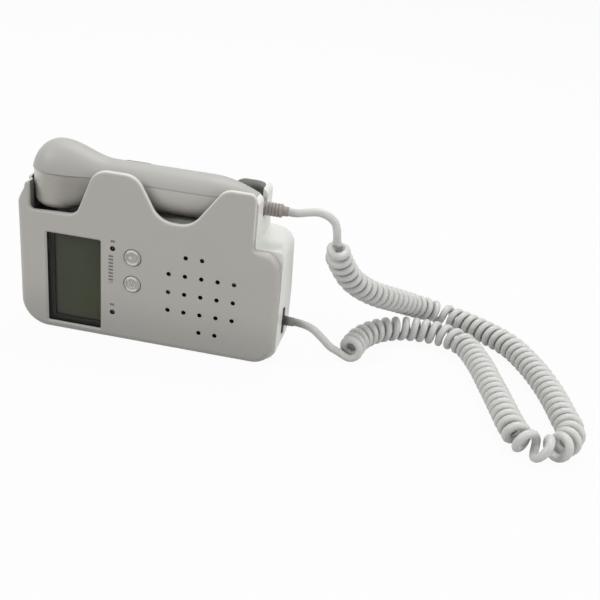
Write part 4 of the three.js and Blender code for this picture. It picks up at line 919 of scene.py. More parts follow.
def combined(operation, first, others):
    base = placed("base", first)
    tools = [placed("tool", mesh) for mesh in others]
    for tool in tools:
        step = base.modifiers.new("step", "BOOLEAN")
        step.operation = operation
        step.solver = "MANIFOLD"
        step.object = tool
    bpy.context.view_layer.update()
    depsgraph = bpy.context.evaluated_depsgraph_get()
    made = bpy.data.meshes.new_from_object(base.evaluated_get(depsgraph))
    for item in [base, *tools]:
        bpy.data.objects.remove(item)
    return made


def join(first, *others):
    return combined("UNION", first, others)


def cut(first, *others):
    return combined("DIFFERENCE", first, others)


def meet(first, *others):
    return combined("INTERSECT", first, others)


def tidied(mesh):
    """Flat faces stay flat and rounded ones smooth, with an edge wherever two meet at a sharp angle."""
    work = bmesh.new()
    work.from_mesh(mesh)
    bmesh.ops.dissolve_degenerate(work, dist=1e-7, edges=work.edges)
    work.to_mesh(mesh)
    work.free()
    mesh.shade_smooth()
    mesh.set_sharp_from_angle(angle=math.radians(SHARP))
    return mesh


def add_piece(name, mesh, slot, body, node, finish=None):
    """A piece that rides on a body and stands for a node."""
    piece = placed(name, tidied(mesh))
    piece.data.materials.clear()
    piece.data.materials.append(finish or FINISHES[slot])
    weights = piece.modifiers.new("weights", "WEIGHTED_NORMAL")
    weights.keep_sharp = True
    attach(piece, body)
    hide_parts(node)


# The case

def shell_outline(right, end, shoulder, crest, side_edge, top_edge, post_edge):
    return rounded([
        (LEFT, 0, 15, side_edge),
        (right, 0, 12, side_edge),
        (right, LEAN_START, 30, side_edge),
        (right - SHOULDER_LEAN, shoulder, 9, (side_edge + top_edge) / 2),
        (end, shoulder, 2.5, top_edge),
        (end, crest, 3.6, top_edge),
        (CREST_2, crest, 8, top_edge),
        (VALLEYS[1], VALLEY, 12.5, top_edge),
        (VALLEYS[0], VALLEY, 12.5, top_edge),
        (CREST_1[1], crest, 10, top_edge),
        (CREST_1[0], crest, 10, top_edge),
        (POCKET_END, LIP, 6, top_edge),
        (POCKET_X, LIP - LIP_FALL, 2.5, post_edge),
        (POCKET_X, POST, 0.8, post_edge),
        (LEFT + 4.8, FLOOR + 15, 15, post_edge),
        (LEFT + 0.6, FLOOR + 8.6, 6, (side_edge + post_edge) / 2),
        (LEFT, FLOOR - 15, 30, side_edge),
    ])


def inside(y0, y1):
    return slab(rounded([
        (LEFT + WALL, WALL, 15 - WALL, 0),
        (FRONT_RIGHT - WALL, WALL, 12 - WALL, 0),
        (FRONT_RIGHT - WALL, LEAN_START, 30 - WALL, 0),
        (FRONT_RIGHT - WALL - SHOULDER_LEAN, SHOULDER - WALL, 9 - WALL, 0),
        (END_WALL_X, SHOULDER - WALL, 0, 0),
        (END_WALL_X, FLOOR - DECK, 0, 0),
        (LEFT + WALL, FLOOR - DECK, 0, 0),
    ], 1, 200), y0, y1)


BOSS_R = 3.1
SCREW_R = 1.3
SCREW_HEAD_R = 2.4
SCREW_HEAD = 1.8
SCREW_LONG = 10
BOSS_LOW = 8.2
BOSS_HIGH = 57
BOSS_IN = 8.8
PEG_R = 1.6
BOARD_THICK = 1.6
SHAFT_CHAMFER = 0.5
BOSS_MEET = BOARD_FRONT + BOARD_THICK + CLEAR + PEG_R
SCREW_SEAT = BOSS_MEET + CLEAR + DECK
BOSSES = [
    (LEFT + BOSS_IN, BOSS_LOW), (RIGHT - BOSS_IN, BOSS_LOW),
    (LEFT + BOSS_IN, BOSS_HIGH), (RIGHT - BOSS_IN - SHOULDER_LEAN, BOSS_HIGH),
]
SPEAKER_R = 20


def window(grow, radius, edge=0):
    """The outline of the display's window, grown to all sides."""
    x0, x1, z0, z1 = WINDOW
    return rectangle(x0 - grow, x1 + grow, z0 - grow, z1 + grow, radius, edge)


def at_bosses(radius, start, end, sides):
    return gathered(*(rod("y", (x, 0, z), radius, start, end, sides) for x, z in BOSSES))


def front_cover():
    form = slab(
        shell_outline(FRONT_RIGHT, LEFT + HOLSTER_END - END_STEP, SHOULDER, CREST, 4, 1.5, 0.7),
        FRONT, PARTING, front=True,
    )
    holster = box(LEFT + WALL, LEFT + HOLSTER_END + CLEAR, FACE_IN, PARTING + OVERRUN,
                  FLOOR - DECK - CLEAR, TOP)
    speaker = (GRILLE_X, 0, GRILLE_Z)
    ring = cut(
        rod("y", speaker, SPEAKER_R + CLEAR + 1, FACE_IN - FACE / 2, FACE_IN + FACE),
        rod("y", speaker, SPEAKER_R + CLEAR, FACE_IN - FACE, FACE_IN + FACE + OVERRUN),
    )
    posts = at_bosses(BOSS_R, FACE_IN - FACE / 2, BOSS_MEET, 24)
    pilots = at_bosses(SCREW_R + CLEAR, SCREW_SEAT - SCREW_LONG - CLEAR, BOSS_MEET + OVERRUN, 20)
    opening = []
    for y, grow in ((FRONT - 1, BEVEL + 1), (FRONT, BEVEL), (FRONT + BEVEL, 0), (FACE_IN + OVERRUN, 0)):
        edge = inset([(x, z, 1) for x, z, _ in window(0, WINDOW_ROUND)], -grow)
        opening.append([(x, y, z) for x, z in edge])
    holes = []
    for j, row in enumerate(GRILLE_ROWS):
        for i in row:
            x = GRILLE_X + i * GRILLE_PITCH[0]
            holes.append(hole(x, GRILLE_Z + (2 - j) * GRILLE_PITCH[1], GRILLE_R, 0.12, 24))
    holes += [hole(LAMP_X, z, LAMP_R + CLEAR, 0.2, 24) for z in LAMP_LEVELS.values()]
    keys = [hole(BUTTON_X, z, BUTTON_R + BUTTON_GAP, 0.15) for z in BUTTON_LEVELS.values()]
    return cut(
        join(cut(form, inside(FACE_IN, PARTING + OVERRUN), holster), ring, posts),
        outward(new_mesh("opening", *stack(opening))),
        slab(window(REBATE, WINDOW_ROUND + REBATE), FACE_IN - LENS_THICK - CLEAR, FACE_IN + OVERRUN),
        gathered(*holes), gathered(*keys), pilots,
    )


def rear_form(y0):
    end = LEFT + HOLSTER_END
    form = slab(
        shell_outline(RIGHT, end, REAR_SHOULDER, REAR_CREST, 5, 1.2, 0.55), y0, BACK, back=True, steps=8,
    )
    drafted = column([
        (RIGHT, BACK), (FRONT_RIGHT, PARTING), (FRONT_RIGHT, FRONT - OVERRUN),
        (RIGHT + OVERRUN, FRONT - OVERRUN), (RIGHT + OVERRUN, BACK),
    ], -OVERRUN, TOP)
    sloped = bar([
        (FRONT - 5, SHOULDER), (PARTING, SHOULDER), (BACK + OVERRUN, REAR_SHOULDER),
        (BACK + OVERRUN, TOP), (FRONT - 5, TOP),
    ], end, RIGHT + OVERRUN)
    return cut(form, drafted, sloped)


CELL_R = 7.1
BAY = (LEFT + 6.8, LEFT + 65.1, 17.4, 46.7)
BAY_WALL = 1.5
BAY_FRONT = -1.5
COVER_THICK = 2
COVER_LAP = 3
RECESS = BACK - COVER_THICK - CLEAR
COVER_LOW = BAY[2] - BAY_WALL - COVER_LAP
COVER_HIGH = BAY[3] + BAY_WALL + COVER_LAP
COVER_END = BAY[1] + BAY_WALL + COVER_LAP
TONGUE = 1
TONGUE_OUT = 1.2
GROOVES = 5
GROOVES_IN = 15
GROOVE_HALF = 7
GROOVE_PITCH = 2.4
GROOVE_R = 0.6
GROOVE_DEEP = 0.5
PAD = 2.6
GLAND_TALL = 15
GLAND_WIDE = 3.4
GLAND_SUNK = 0.9
RELIEF_R = 3.5
RELIEF_GAP = 0.6
CUP_WALL = 1.8
CUP_START = -5
CUP_TOP = FLOOR + 17.3
CHANNEL_ROUND = 6
SADDLE = 3.2
SADDLE_UNDER = 6.5  # how far under the probe's axis they end
SADDLES = [LEFT + 0.402 * HOLSTER_END, LEFT + 0.79 * HOLSTER_END]
BELLY = 11.4


def plan(corners):
    return [p[:2] for p in rounded([(*c, 0) for c in corners], 4, 500)]


def cup():
    """The wall round the probe's head, behind the front cover's."""
    return meet(
        rod("z", (HEAD_X, 0, 0), HEAD_R + CLEAR + CUP_WALL, FLOOR - DECK / 2, CUP_TOP, 96),
        box(LEFT, POCKET_X, CUP_START, BACK, 0, TOP),
    )


def channel():
    """What is cut out between the holster's walls."""
    return join(
        rod("z", (HEAD_X, 0, 0), HEAD_R + CLEAR, FLOOR, TOP, 96),
        column(plan([
            (POCKET_X, FRONT - OVERRUN, 0), (END_WALL_X, FRONT - OVERRUN, 0),
            (END_WALL_X, BACK_IN, CHANNEL_ROUND), (POCKET_X, BACK_IN, 0),
        ]), FLOOR, TOP),
    )


def notch():
    """What is cut out of the holster's end wall for the probe's relief."""
    through = (END_WALL_X - OVERRUN, END_WALL_X + END_WALL + OVERRUN)
    half = RELIEF_R + RELIEF_GAP
    return join(rod("x", (0, 0, RELIEF_Z), half, *through), box(*through, *around(0, half), RELIEF_Z, TOP))


def saddles():
    """The ribs across the holster's floor that carry the probe's handle."""
    high = AXIS - SADDLE_UNDER
    return gathered(*(
        cut(
            box(x, x + SADDLE, FACE_IN + CLEAR, BACK_IN + BACK_WALL / 2, FLOOR - DECK / 2, high),
            rod("x", (0, 0, AXIS), BELLY + CLEAR, x - OVERRUN, x + SADDLE + OVERRUN, 64),
        )
        for x in SADDLES
    ))


def bay_tub():
    tub = box(BAY[0] - BAY_WALL, BAY[1] + BAY_WALL, BAY_FRONT - BAY_WALL, BACK_IN + BAY_WALL / 2,
              BAY[2] - BAY_WALL, BAY[3] + BAY_WALL)
    return meet(tub, inside(FRONT, BACK_IN + BAY_WALL))


def bay_pad():
    """The thicker part of the back round the bay, which the battery cover lies in."""
    pad = box(LEFT + WALL / 2, COVER_END + COVER_LAP, RECESS - PAD, BACK_IN + BAY_WALL / 2,
              COVER_LOW - COVER_LAP, COVER_HIGH + COVER_LAP)
    return meet(pad, join(inside(FRONT, BACK), box(LEFT + WALL / 2, LEFT + 15, FRONT, BACK, 15, COVER_HIGH)))


def board_pegs():
    return gathered(*(
        rod("y", (x, 0, z), PEG_R, BOARD_FRONT + BOARD_THICK + CLEAR, BAY_FRONT - BAY_WALL / 2, 20)
        for x in (BAY[0] + 2 * PEG_R, BAY[1] - 2 * PEG_R) for z in BAY[2:]
    ))


def screw_shafts():
    """What is cut out for the case screws: the shank's bore, and the head's with a chamfered mouth."""
    bore = SCREW_HEAD_R + CLEAR
    mouth = bore + SHAFT_CHAMFER
    return gathered(*(
        join(
            rod("y", (x, 0, z), SCREW_R + CLEAR, FRONT, BACK - 5, 20),
            turned("y", (x, 0, z), [
                (0, SCREW_SEAT), (bore, SCREW_SEAT), (bore, BACK - SHAFT_CHAMFER),
                (mouth, BACK), (mouth, BACK + OVERRUN), (0, BACK + OVERRUN),
            ], 32),
        )
        for x, z in BOSSES
    ))


def cover_recess():
    """What is cut out for the battery cover, with the grooves of its tongues."""
    along = (LEFT - OVERRUN, COVER_END + CLEAR)
    low, high = COVER_LOW - CLEAR, COVER_HIGH + CLEAR
    return join(
        box(*along, RECESS, BACK + OVERRUN, low, high),
        box(*along, RECESS, RECESS + TONGUE + 2 * CLEAR, low - TONGUE_OUT, high + TONGUE_OUT),
    )


def gland_slot():
    return join(
        box(END_FACE - GLAND_SUNK, RIGHT + OVERRUN,
            *around(0, GLAND_WIDE / 2 + CLEAR), *around(GLAND_Z, GLAND_TALL / 2 + CLEAR)),
        rod("x", (0, 0, GLAND_Z), CORD_R + 2 * CLEAR, FRONT_RIGHT - WALL - OVERRUN, RIGHT + OVERRUN),
    )


def rear_housing():
    outline = shell_outline(RIGHT, LEFT + HOLSTER_END, REAR_SHOULDER, REAR_CREST, 0, 0, 0)
    tongue = meet(
        slab(outline, FACE_IN + CLEAR, PARTING + 2 * CLEAR),
        box(LEFT + WALL + CLEAR, LEFT + HOLSTER_END, FRONT, BACK, FLOOR - DECK, TOP),
    )
    posts = at_bosses(BOSS_R + WALL / 2, BOSS_MEET + CLEAR, BACK_IN + BAY_WALL / 2, 32)
    form = cut(join(rear_form(PARTING + CLEAR), tongue, cup()), inside(FRONT, BACK_IN), channel(), notch())
    return cut(
        join(form, bay_tub(), bay_pad(), saddles(), board_pegs(), posts),
        box(*BAY[:2], BAY_FRONT, BACK, *BAY[2:]),
        cover_recess(), gland_slot(), screw_shafts(),
    )


def battery_cover():
    plate = meet(rear_form(PARTING), box(LEFT, COVER_END, RECESS + CLEAR, BACK, COVER_LOW, COVER_HIGH))
    rail = box(LEFT + 5 + TONGUE_OUT, COVER_END, RECESS + CLEAR, RECESS + CLEAR + TONGUE,
               COVER_LOW - TONGUE_OUT, COVER_HIGH + TONGUE_OUT)
    middle = (COVER_LOW + COVER_HIGH) / 2
    grooves = []
    for k in range(GROOVES):
        x = COVER_END - GROOVES_IN - k * GROOVE_PITCH
        lift = GROOVE_HALF - 0.6 * abs(k - GROOVES // 2)
        outline = rectangle(*around(x, GROOVE_R), *around(middle, lift), GROOVE_R)
        grooves.append(slab(outline, BACK - GROOVE_DEEP, BACK + OVERRUN))
    return cut(join(plate, rail), gathered(*grooves))


add_piece("front_shell", front_cover(), "cover", "case", "front_cover")
add_piece("rear_shell", rear_housing(), "housing", "case", "rear_housing")
add_piece("battery_door", battery_cover(), "housing", "battery_cover", "battery_cover")


# The probe

SEAM = AXIS + 4.2
CAP_HEIGHT = 15.55
CAP_ROUND = 5
CAP_TAPER = 0.3
CAP_CLEAR = 0.15
CAP_SQUARE = 2.6
DOME = 18.8
NECK = 28
GRIP_HALF = 11.7
GRIP_RISE = 11.9
PROBE_LENGTH = 119.8
TAIL_X = HEAD_X - HEAD_R + PROBE_LENGTH
TAIL = 24
TAIL_R = 6
PROBE_WALL = 1.8
PROBE_BOARD_LONG = 36
SEAM_DEEP = 0.14
SEAM_HALF = 0.18
SEAM_GAP = 0.12
AROUND = (LEFT - 9, RIGHT, -30, 30)  # a room in X and Y that is wider than the probe
PROBE_SCREWS = [HEAD_X + 38, HEAD_X + 86]
PROBE_SCREW_SEAT = SEAM - SCREW_LONG / 2
BOARD_UNDER = AXIS - 5.2
DISC_R = 9.2
DISC_RIM = 0.7
RELIEF_NECK_R = 2.4
RELIEF_FLANGE_R = 3.2
RELIEF_RIBS = 6
RELIEF_PITCH = 1.7
THIN_STEP = [  # (radius, distance from the thick sleeve)
    (2.6, 0), (2.55, 0.9), (2.35, 1), (2.35, 1.3), (2.55, 1.4), (2.5, 2.3), (2.3, 2.4), (2.3, 2.6),
    (2.45, 2.7),
]


def fade(share):
    return math.cos(min(1, max(0, share)) * math.pi / 2) ** 2


def taper(x):
    return 1 - math.cos(min(1, max(0, (x - TAIL_X + TAIL) / TAIL)) * math.pi / 2)


def reach(x, radius, head, grip, less):
    """Half the width or height of the probe at x, moved in by less."""
    along = (x - HEAD_X) / (radius - less)
    if along <= 0:
        return (head - less) * math.sqrt(max(0, 1 - along * along))
    body = grip + (head - grip) * fade((x - HEAD_X) / NECK)
    return body - (grip - TAIL_R) * taper(x) - less


def stations(radius, start, end):
    places = [HEAD_X - radius * math.cos(k / 24 * math.pi / 2) for k in range(1, 25)]
    places += [HEAD_X + NECK * k / 20 for k in range(1, 21)]
    grip = TAIL_X - TAIL - HEAD_X - NECK
    places += [HEAD_X + NECK + grip * k / 6 for k in range(1, 7)]
    places += [TAIL_X - TAIL + TAIL * k / 16 for k in range(1, 17)]
    return [x for x in places if start <= x < end] + [end]


def probe_form(radius, head, start, less, sides):
    rings = []
    for x in stations(radius - less, start, TAIL_X - less):
        width = reach(x, radius, radius, GRIP_HALF, less)
        up = reach(x, radius, head, GRIP_RISE, less)
        down = reach(x, radius, BELLY, BELLY, less)
        square = 2
        if x > HEAD_X:
            down += (CAP_HEIGHT - CAP_CLEAR - BELLY) * fade((x - HEAD_X) / NECK)
            square += CAP_SQUARE * fade((x - HEAD_X) / NECK)
        ring = []
        for k in range(sides):
            rise = math.sin(math.tau * k / sides)
            across = math.cos(math.tau * k / sides)
            if rise < 0:
                rise = -abs(rise) ** (2 / square)
                across = math.copysign(abs(across) ** (2 / square), across)
            ring.append((x, width * across, AXIS + rise * (up if rise > 0 else down)))
        rings.append(ring)
    return outward(new_mesh("form", *stack(rings)))


def cap_form(less):
    base = AXIS - CAP_HEIGHT + less
    round_off = CAP_ROUND - less
    low = CAP_R - less - CAP_TAPER
    turns = [k / 8 * math.pi / 2 for k in range(9)]
    return turned("z", (HEAD_X, 0, 0), [
        (0, base),
        *(
            (low - round_off + round_off * math.sin(a), base + round_off - round_off * math.cos(a))
            for a in turns
        ),
        (CAP_R - less, SEAM + OVERRUN),
        (0, SEAM + OVERRUN),
    ], 72)


def upper_form(less, sides=96):
    return probe_form(HEAD_R, DOME, LEFT, less, sides)


def lower_form(less):
    return join(probe_form(CAP_R, DOME, HEAD_X, less, 72), cap_form(less))


def seam_groove(form):
    """What cuts a fine groove round the outside, where the two shells meet."""
    return cut(box(*AROUND, SEAM - SEAM_HALF, SEAM + SEAM_HALF), form)


def at_screws(radius, start, end, sides):
    return gathered(*(rod("z", (x, 0, 0), radius, start, end, sides) for x in PROBE_SCREWS))


def probe_upper_shell():
    posts = at_screws(BOSS_R, SEAM, AXIS + GRIP_RISE - PROBE_WALL / 2, 32)
    pilots = at_screws(SCREW_R + CLEAR, SEAM - OVERRUN, PROBE_SCREW_SEAT + SCREW_LONG + 2 * CLEAR, 20)
    shell = cut(
        upper_form(0), upper_form(PROBE_WALL, 48), seam_groove(upper_form(SEAM_DEEP)),
    )
    above = box(*AROUND, SEAM + SEAM_GAP / 2, TOP + OVERRUN)
    return cut(meet(join(shell, posts), above), pilots)


def probe_lower_shell():
    posts = at_screws(BOSS_R + PROBE_WALL, AXIS - BELLY + PROBE_WALL / 2, SEAM, 32)
    shafts = join(
        at_screws(SCREW_R + CLEAR, AXIS - BELLY, SEAM + OVERRUN, 20),
        at_screws(SCREW_HEAD_R + CLEAR, AXIS - BELLY - OVERRUN, PROBE_SCREW_SEAT, 32),
    )
    middle = sum(PROBE_SCREWS) / 2
    within = lower_form(PROBE_WALL / 2)
    ribs = []
    for side in (-1, 1):
        x = middle + side * PROBE_BOARD_LONG / 3
        rib = box(*around(x, PROBE_WALL / 2), *around(0, GRIP_HALF), AXIS - BELLY, BOARD_UNDER - CLEAR)
        ribs.append(meet(rib, within))
    shell = cut(lower_form(0), lower_form(PROBE_WALL), seam_groove(lower_form(SEAM_DEEP)))
    below = box(*AROUND, SEAM - 40, SEAM - SEAM_GAP / 2)
    return cut(
        meet(join(shell, posts, gathered(*ribs)), below),
        shafts,
        rod("x", (0, 0, RELIEF_Z), RELIEF_NECK_R + CLEAR, TAIL_X - 2 * PROBE_WALL, TAIL_X + OVERRUN, 32),
        rod("z", (HEAD_X, 0, 0), DISC_R + CLEAR, 40, AXIS - CAP_HEIGHT + PROBE_WALL + OVERRUN, 64),
    )


def probe_face():
    base = AXIS - CAP_HEIGHT
    top = base + PROBE_WALL + CLEAR
    return turned("z", (HEAD_X, 0, 0), [
        (0, base), (DISC_R - 1.2, base + CLEAR / 4), (DISC_R - 0.4, base + CLEAR / 2),
        (DISC_R, base + CLEAR / 2 + 0.5), (DISC_R, top),
        (DISC_R + DISC_RIM, top), (DISC_R + DISC_RIM, top + 1), (0, top + 1),
    ], 64)


def strain_relief():
    """Two steps: a thick sleeve with ribs, then a thin one that tapers to the cord."""
    inner = TAIL_X - PROBE_WALL - CLEAR
    end = RELIEF_START + RELIEF_LONG
    profile = [
        (0, inner - 0.8), (RELIEF_FLANGE_R, inner - 0.8), (RELIEF_FLANGE_R, inner),
        (RELIEF_NECK_R, inner), (RELIEF_NECK_R, RELIEF_START),
        (RELIEF_R - 0.3, RELIEF_START), (RELIEF_R, RELIEF_START + 0.3),
    ]
    for k in range(RELIEF_RIBS):
        x = RELIEF_START + 1.9 + k * RELIEF_PITCH
        profile += [
            (RELIEF_R, x), (RELIEF_R - 0.4, x + 0.12), (RELIEF_R - 0.4, x + 0.5), (RELIEF_R, x + 0.62),
        ]
    profile += [(RELIEF_R, end - 0.4), (RELIEF_R - 0.4, end)]
    profile += [(radius, end + x) for radius, x in THIN_STEP]
    profile += [(2.4, RELIEF_TIP - 0.3), (CORD_R + 0.12, RELIEF_TIP), (0, RELIEF_TIP)]
    return turned("x", (0, 0, RELIEF_Z), profile, 48)


add_piece("probe_top", probe_upper_shell(), "probe", "probe", "probe_upper_shell")
add_piece("probe_cap", probe_lower_shell(), "cap", "probe", "probe_lower_shell")
add_piece("probe_disc", probe_face(), "white", "probe", "probe_face")
add_piece("ribbed_relief", strain_relief(), "rubber", "probe", "probe_strain_relief")


# Keys and lamps

KEY_PROUD = 0.7
KEY_FLANGE = 1.1
KEY_STEM = 2.1
KEY_STEM_R = 1.8
KEY_DISH = [(0, -0.3), (2.4, -0.32), (2.9, -0.42)]  # (radius, distance from the front)
KEY_RIM = [  # (radius, distance from its crest)
    (3.2, 0.06), (3.45, 0), (3.75, 0), (4.05, 0.1), (4.28, 0.35), (BUTTON_R, 0.75),
]
MARK_OUT = 0.52
LAMP_FOOT_R = LAMP_R * 1.6


def stroke(points, width, y0, y1):
    """A line of even width through (across, up) points, made solid."""
    left, right = [], []
    for i, p in enumerate(points):
        a = Vector(points[max(0, i - 1)])
        b = Vector(points[min(len(points) - 1, i + 1)])
        way = (b - a).normalized()
        side = Vector((-way.y, way.x)) * width / 2
        left.append(Vector(p) + side)
        right.append(Vector(p) - side)
    outline = [(p.x, p.y, 0) for p in right + left[::-1]]
    return slab(outline, y0, y1)


def arc(x, z, radius, start, end, steps=20):
    turns = [math.radians(start + (end - start) * k / steps) for k in range(steps + 1)]
    return [(x + radius * math.cos(a), z + radius * math.sin(a)) for a in turns]


def key_marks(level):
    """Moulded signs: a ring broken at its top by a bar, and a small horn with two waves."""
    x, z = BUTTON_X, BUTTON_LEVELS[level]
    y0, y1 = FRONT - MARK_OUT, FRONT
    if level == "lower":
        ring = stroke(arc(x, z - 0.1, 1.7, 125, 415), 0.4, y0, y1)
        return [ring, stroke([(x, z + 0.3), (x, z + 2.1)], 0.4, y0, y1)]
    horn = slab([
        (x - 1.9, z - 0.55, 0), (x - 1.1, z - 0.55, 0), (x - 0.2, z - 1.35, 0),
        (x - 0.2, z + 1.35, 0), (x - 1.1, z + 0.55, 0), (x - 1.9, z + 0.55, 0),
    ], y0, y1)
    waves = [stroke(arc(x - 0.4, z, r, -45, 45, 10), 0.35, y0, y1) for r in (1.2, 2.1)]
    return [horn, *waves]


def key(level):
    behind = FACE_IN + CLEAR
    tip = behind + KEY_FLANGE + KEY_STEM
    flange = BUTTON_R + KEY_FLANGE
    body = turned("y", (BUTTON_X, 0, BUTTON_LEVELS[level]), [
        *((radius, FRONT + y) for radius, y in KEY_DISH),
        *((radius, FRONT - KEY_PROUD + y) for radius, y in KEY_RIM),
        (BUTTON_R, behind), (flange, behind), (flange, behind + KEY_FLANGE),
        (KEY_STEM_R, behind + KEY_FLANGE), (KEY_STEM_R, tip), (0, tip),
    ], 64)
    return join(body, *key_marks(level))


def lamp(level):
    tip = FRONT + CLEAR
    foot = FACE_IN + CLEAR
    turns = [math.pi / 2 * k / 6 for k in range(1, 7)]
    return turned("y", (LAMP_X, 0, LAMP_LEVELS[level]), [
        (0, tip), *((LAMP_R * math.sin(a), tip + LAMP_R * 0.8 * (1 - math.cos(a))) for a in turns),
        (LAMP_R, foot), (LAMP_FOOT_R, foot), (LAMP_FOOT_R, foot + LAMP_R), (LAMP_R, foot + LAMP_R),
        (LAMP_R, BOARD_FRONT - CLEAR), (0, BOARD_FRONT - CLEAR),
    ], 32)


for level in BUTTON_LEVELS:
    add_piece(f"key_{level}", key(level), "button", f"{level}_key", f"button_{level}")
    add_piece(f"lamp_{level}_lens", lamp(level), "lens", "case", f"lamp_{level}", finish=FINISHES["smoked"])


# The display's window

def display_window():
    outline = window(REBATE - CLEAR, WINDOW_ROUND, 0.2)
    return slab(outline, FACE_IN - LENS_THICK, FACE_IN, front=True, steps=3)


add_piece("display_window", display_window(), "lens", "case", "lcd_lens")


# Screws, cells and the gland

CORE_R = SCREW_R - 0.15
THREADS = 7
THREAD_PITCH = 1.2
HEAD_PROFILE = [(0.92, 0.72), (1, 0.4), (1, 0)]  # shares of the head's radius and height
CROSS_LONG = 1.5
CROSS_HALF = 0.28
CROSS_DEEP = 0.9


def screw(axis, at, start, way):
    """A pan head with a cross recess, and a threaded shank."""
    crown = start + way * SCREW_HEAD
    profile = [(0, crown), (SCREW_HEAD_R * 0.7, start + way * (SCREW_HEAD - 0.08))]
    profile += [(SCREW_HEAD_R * r, start + way * SCREW_HEAD * h) for r, h in HEAD_PROFILE]
    profile += [(CORE_R, start)]
    for k in range(THREADS):
        x = start - way * (0.9 + k * THREAD_PITCH)
        profile += [(CORE_R, x), (SCREW_R, x - way * 0.35), (CORE_R, x - way * 0.7)]
    body = turned(axis, at, [*profile, (0, start - way * SCREW_LONG)], 24)
    low, high = sorted((start + way * (SCREW_HEAD - CROSS_DEEP), start + way * (SCREW_HEAD + 1)))
    x, y, z = at
    slots = []
    for long, wide in ((CROSS_LONG, CROSS_HALF), (CROSS_HALF, CROSS_LONG)):
        if axis == "y":
            slots.append(box(*around(x, long), low, high, *around(z, wide)))
        else:
            slots.append(box(*around(x, long), *around(y, wide), low, high))
    return cut(body, join(*slots))


for k, (x, z) in enumerate(BOSSES, 1):
    made = screw("y", (x, 0, z), SCREW_SEAT + CLEAR, 1)
    add_piece(f"cross_screw_{k}", made, "steel", "case", f"case_screw_{k}")
for k, x in enumerate(PROBE_SCREWS, 1):
    made = screw("z", (x, 0, 0), PROBE_SCREW_SEAT - CLEAR, -1)
    add_piece(f"probe_cross_screw_{k}", made, "steel", "probe", f"probe_screw_{k}")


BOOT = END_FACE + 0.5
BOOT_R = 2.7
BOOT_RIBS = 3
BOOT_PITCH = 1.2
BOOT_TAPER = 0.1


def gland_plate(x0, x1):
    half, tall = GLAND_WIDE / 2, GLAND_TALL / 2
    corners = [(-half, -tall), (half, -tall), (half, tall), (-half, tall)]
    outline = rounded([(y, GLAND_Z + z, half * 0.95, 0) for y, z in corners], 4, 50)
    return bar([p[:2] for p in outline], x0, x1)


def cable_gland():
    """A plate with round ends in its slot, a neck through the wall, and a boot with ribs."""
    behind = FRONT_RIGHT - WALL - CLEAR
    profile = [
        (0, behind - 1), (3.2, behind - 1), (3.2, behind), (CORD_R + CLEAR, behind),
        (CORD_R + CLEAR, END_FACE), (BOOT_R, END_FACE), (BOOT_R, BOOT + 0.7),
    ]
    for k in range(BOOT_RIBS):
        x = BOOT + 0.9 + k * BOOT_PITCH
        rib = BOOT_R - BOOT_TAPER * k
        profile += [(rib, x), (2.3, x + 0.12), (2.3, x + 0.5), (rib - 0.05, x + 0.62)]
    profile += [(2.4, GLAND_TIP - 0.5), (CORD_R + 0.12, GLAND_TIP), (0, GLAND_TIP)]
    plate = gland_plate(END_FACE - GLAND_SUNK + CLEAR, BOOT)
    return join(plate, turned("x", (0, 0, GLAND_Z), profile, 40))


add_piece("cord_gland", cable_gland(), "rubber", "case", "cable_gland", finish=FINISHES["gland"])


CELL = 49.3
NUB = 1
CELL_Y = BAY_FRONT + CLEAR + CELL_R
CELL_X = BAY[0] + 0.5 + 3.2 + CLEAR
CELL_ROWS = {"lower": (BAY[2] + CLEAR + CELL_R, 1), "upper": (BAY[2] + 2 * CLEAR + 3 * CELL_R, -1)}
BAND = 13  # of the sleeve, from the nub's tip
FLAT_END = [  # (radius, distance from the end)
    (0, 0), (CELL_R - 1.6, 0), (CELL_R - 1.3, 0.25), (CELL_R - 0.7, 0), (CELL_R - 0.15, 0.2),
    (CELL_R, 0.7),
]
NUB_END = [
    (CELL_R, -1.1), (CELL_R - 0.2, -0.35), (CELL_R - 0.8, -0.1), (CELL_R - 1.1, -0.4), (2.9, -0.4),
    (2.7, 0), (2.6, 0.85), (2.3, NUB), (0, NUB),
]


def cell(z, turn):
    start, end = (0, CELL) if turn > 0 else (CELL + NUB, NUB)
    return turned("x", (CELL_X, CELL_Y, z), [
        *((radius, start + turn * x) for radius, x in FLAT_END),
        *((radius, end + turn * x) for radius, x in NUB_END),
    ], 56)


def cell_sleeve(name, row, turn):
    """A printed sleeve with a coppery band at one end, and bare steel at both tips."""
    made, finish = material(name)
    at = finish.millimetres()
    x, _, _ = finish.parts(at)
    aside = finish.vector_math("SUBTRACT", at, (0, CELL_Y, row))
    across = finish.vector_math("LENGTH", finish.vector_math("MULTIPLY", aside, (0, 1, 1)), output="Value")
    from_nub = (x - CELL_X) if turn < 0 else (CELL_X + CELL + NUB - x)
    band = from_nub.below(BAND, 0.1)
    ends = across.below(CELL_R - 0.525, 0.025)
    clouds = finish.noise(at, 0.4, 3.0)
    sleeve = finish.mixed(band, colour(46, 49, 56), colour(168, 116, 70))
    sleeve = finish.mixed(clouds * 0.3, sleeve, colour(30, 32, 36))
    finish.surface(
        Base_Color=finish.mixed(ends, sleeve, colour(190, 190, 188)),
        Metallic=ends.most(band * 0.6),
        Roughness=finish.ranged(clouds, 0.3, 0.7, 0.3, 0.42),
        Coat_Weight=0.3,
        Coat_Roughness=0.2,
    )
    return made


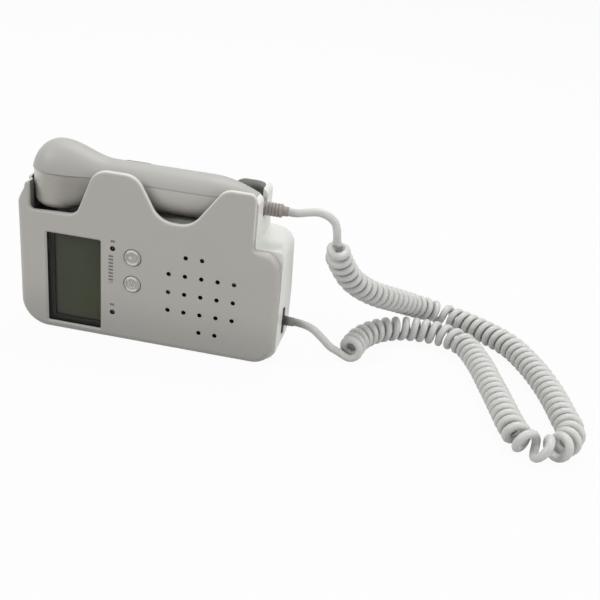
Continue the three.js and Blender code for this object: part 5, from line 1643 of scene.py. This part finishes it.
for level, (z, turn) in CELL_ROWS.items():
    sleeve = cell_sleeve(f"sleeve_{level}", z, turn)
    add_piece(f"battery_{level}", cell(z, turn), "cell", "case", f"cell_{level}", finish=sleeve)


# Floor, backdrop and lamps

WHITE = (1, 1, 1, 1)
PAPER = (0.55, 0.55, 0.55, 1)
SHEET = 3000  # half the floor's width
FLOOR_GLOW = 0.95
SOFT_LIGHT = 0.5
AIM = (0.03, 0, 0.05)
LAMPS = {  # place, size in metres, power in watts
    "key_lamp": ((-0.95, -0.6, 0.95), 0.6, 8),
    "side_lamp": ((1.1, -0.3, 0.6), 0.9, 5.5),
    "back_lamp": ((0.05, 0.5, 1.2), 0.7, 8),
}


def add_floor():
    corners = [(-SHEET, -SHEET, 0), (SHEET, -SHEET, 0), (SHEET, SHEET, 0), (-SHEET, SHEET, 0)]
    mesh = new_mesh("floor", corners, [(0, 1, 2, 3)])
    floor = placed("floor", mesh)
    made, finish = material("floor_paper")
    paper = finish.node("ShaderNodeBsdfDiffuse", {}, {"Color": PAPER})
    white = finish.node("ShaderNodeEmission", {}, {"Color": WHITE, "Strength": 1.0})
    both = finish.node("ShaderNodeMixShader", {}, {
        0: finish.seen_directly() * FLOOR_GLOW, 1: paper, 2: white,
    })
    finish.node("ShaderNodeOutputMaterial", {}, {"Surface": both})
    mesh.materials.append(made)


def add_world():
    world = bpy.data.worlds.new("studio")
    scene.world = world
    world.use_nodes = True
    finish = Finish(world.node_tree)
    soft = finish.node("ShaderNodeBackground", {}, {"Color": WHITE, "Strength": SOFT_LIGHT})
    white = finish.node("ShaderNodeBackground", {}, {"Color": WHITE, "Strength": 1.0})
    both = finish.node("ShaderNodeMixShader", {}, {0: finish.seen_directly(), 1: soft, 2: white})
    finish.node("ShaderNodeOutputWorld", {}, {"Surface": both})


def add_lamp(name, place, size, power):
    data = bpy.data.lights.new(name, "AREA")
    data.shape = "DISK"
    data.size = size
    data.energy = power
    lamp = placed(name, data)
    lamp.location = place
    lamp.rotation_euler = (Vector(AIM) - Vector(place)).to_track_quat("-Z", "Y").to_euler()


add_floor()
add_world()
for name, settings in LAMPS.items():
    add_lamp(name, *settings)
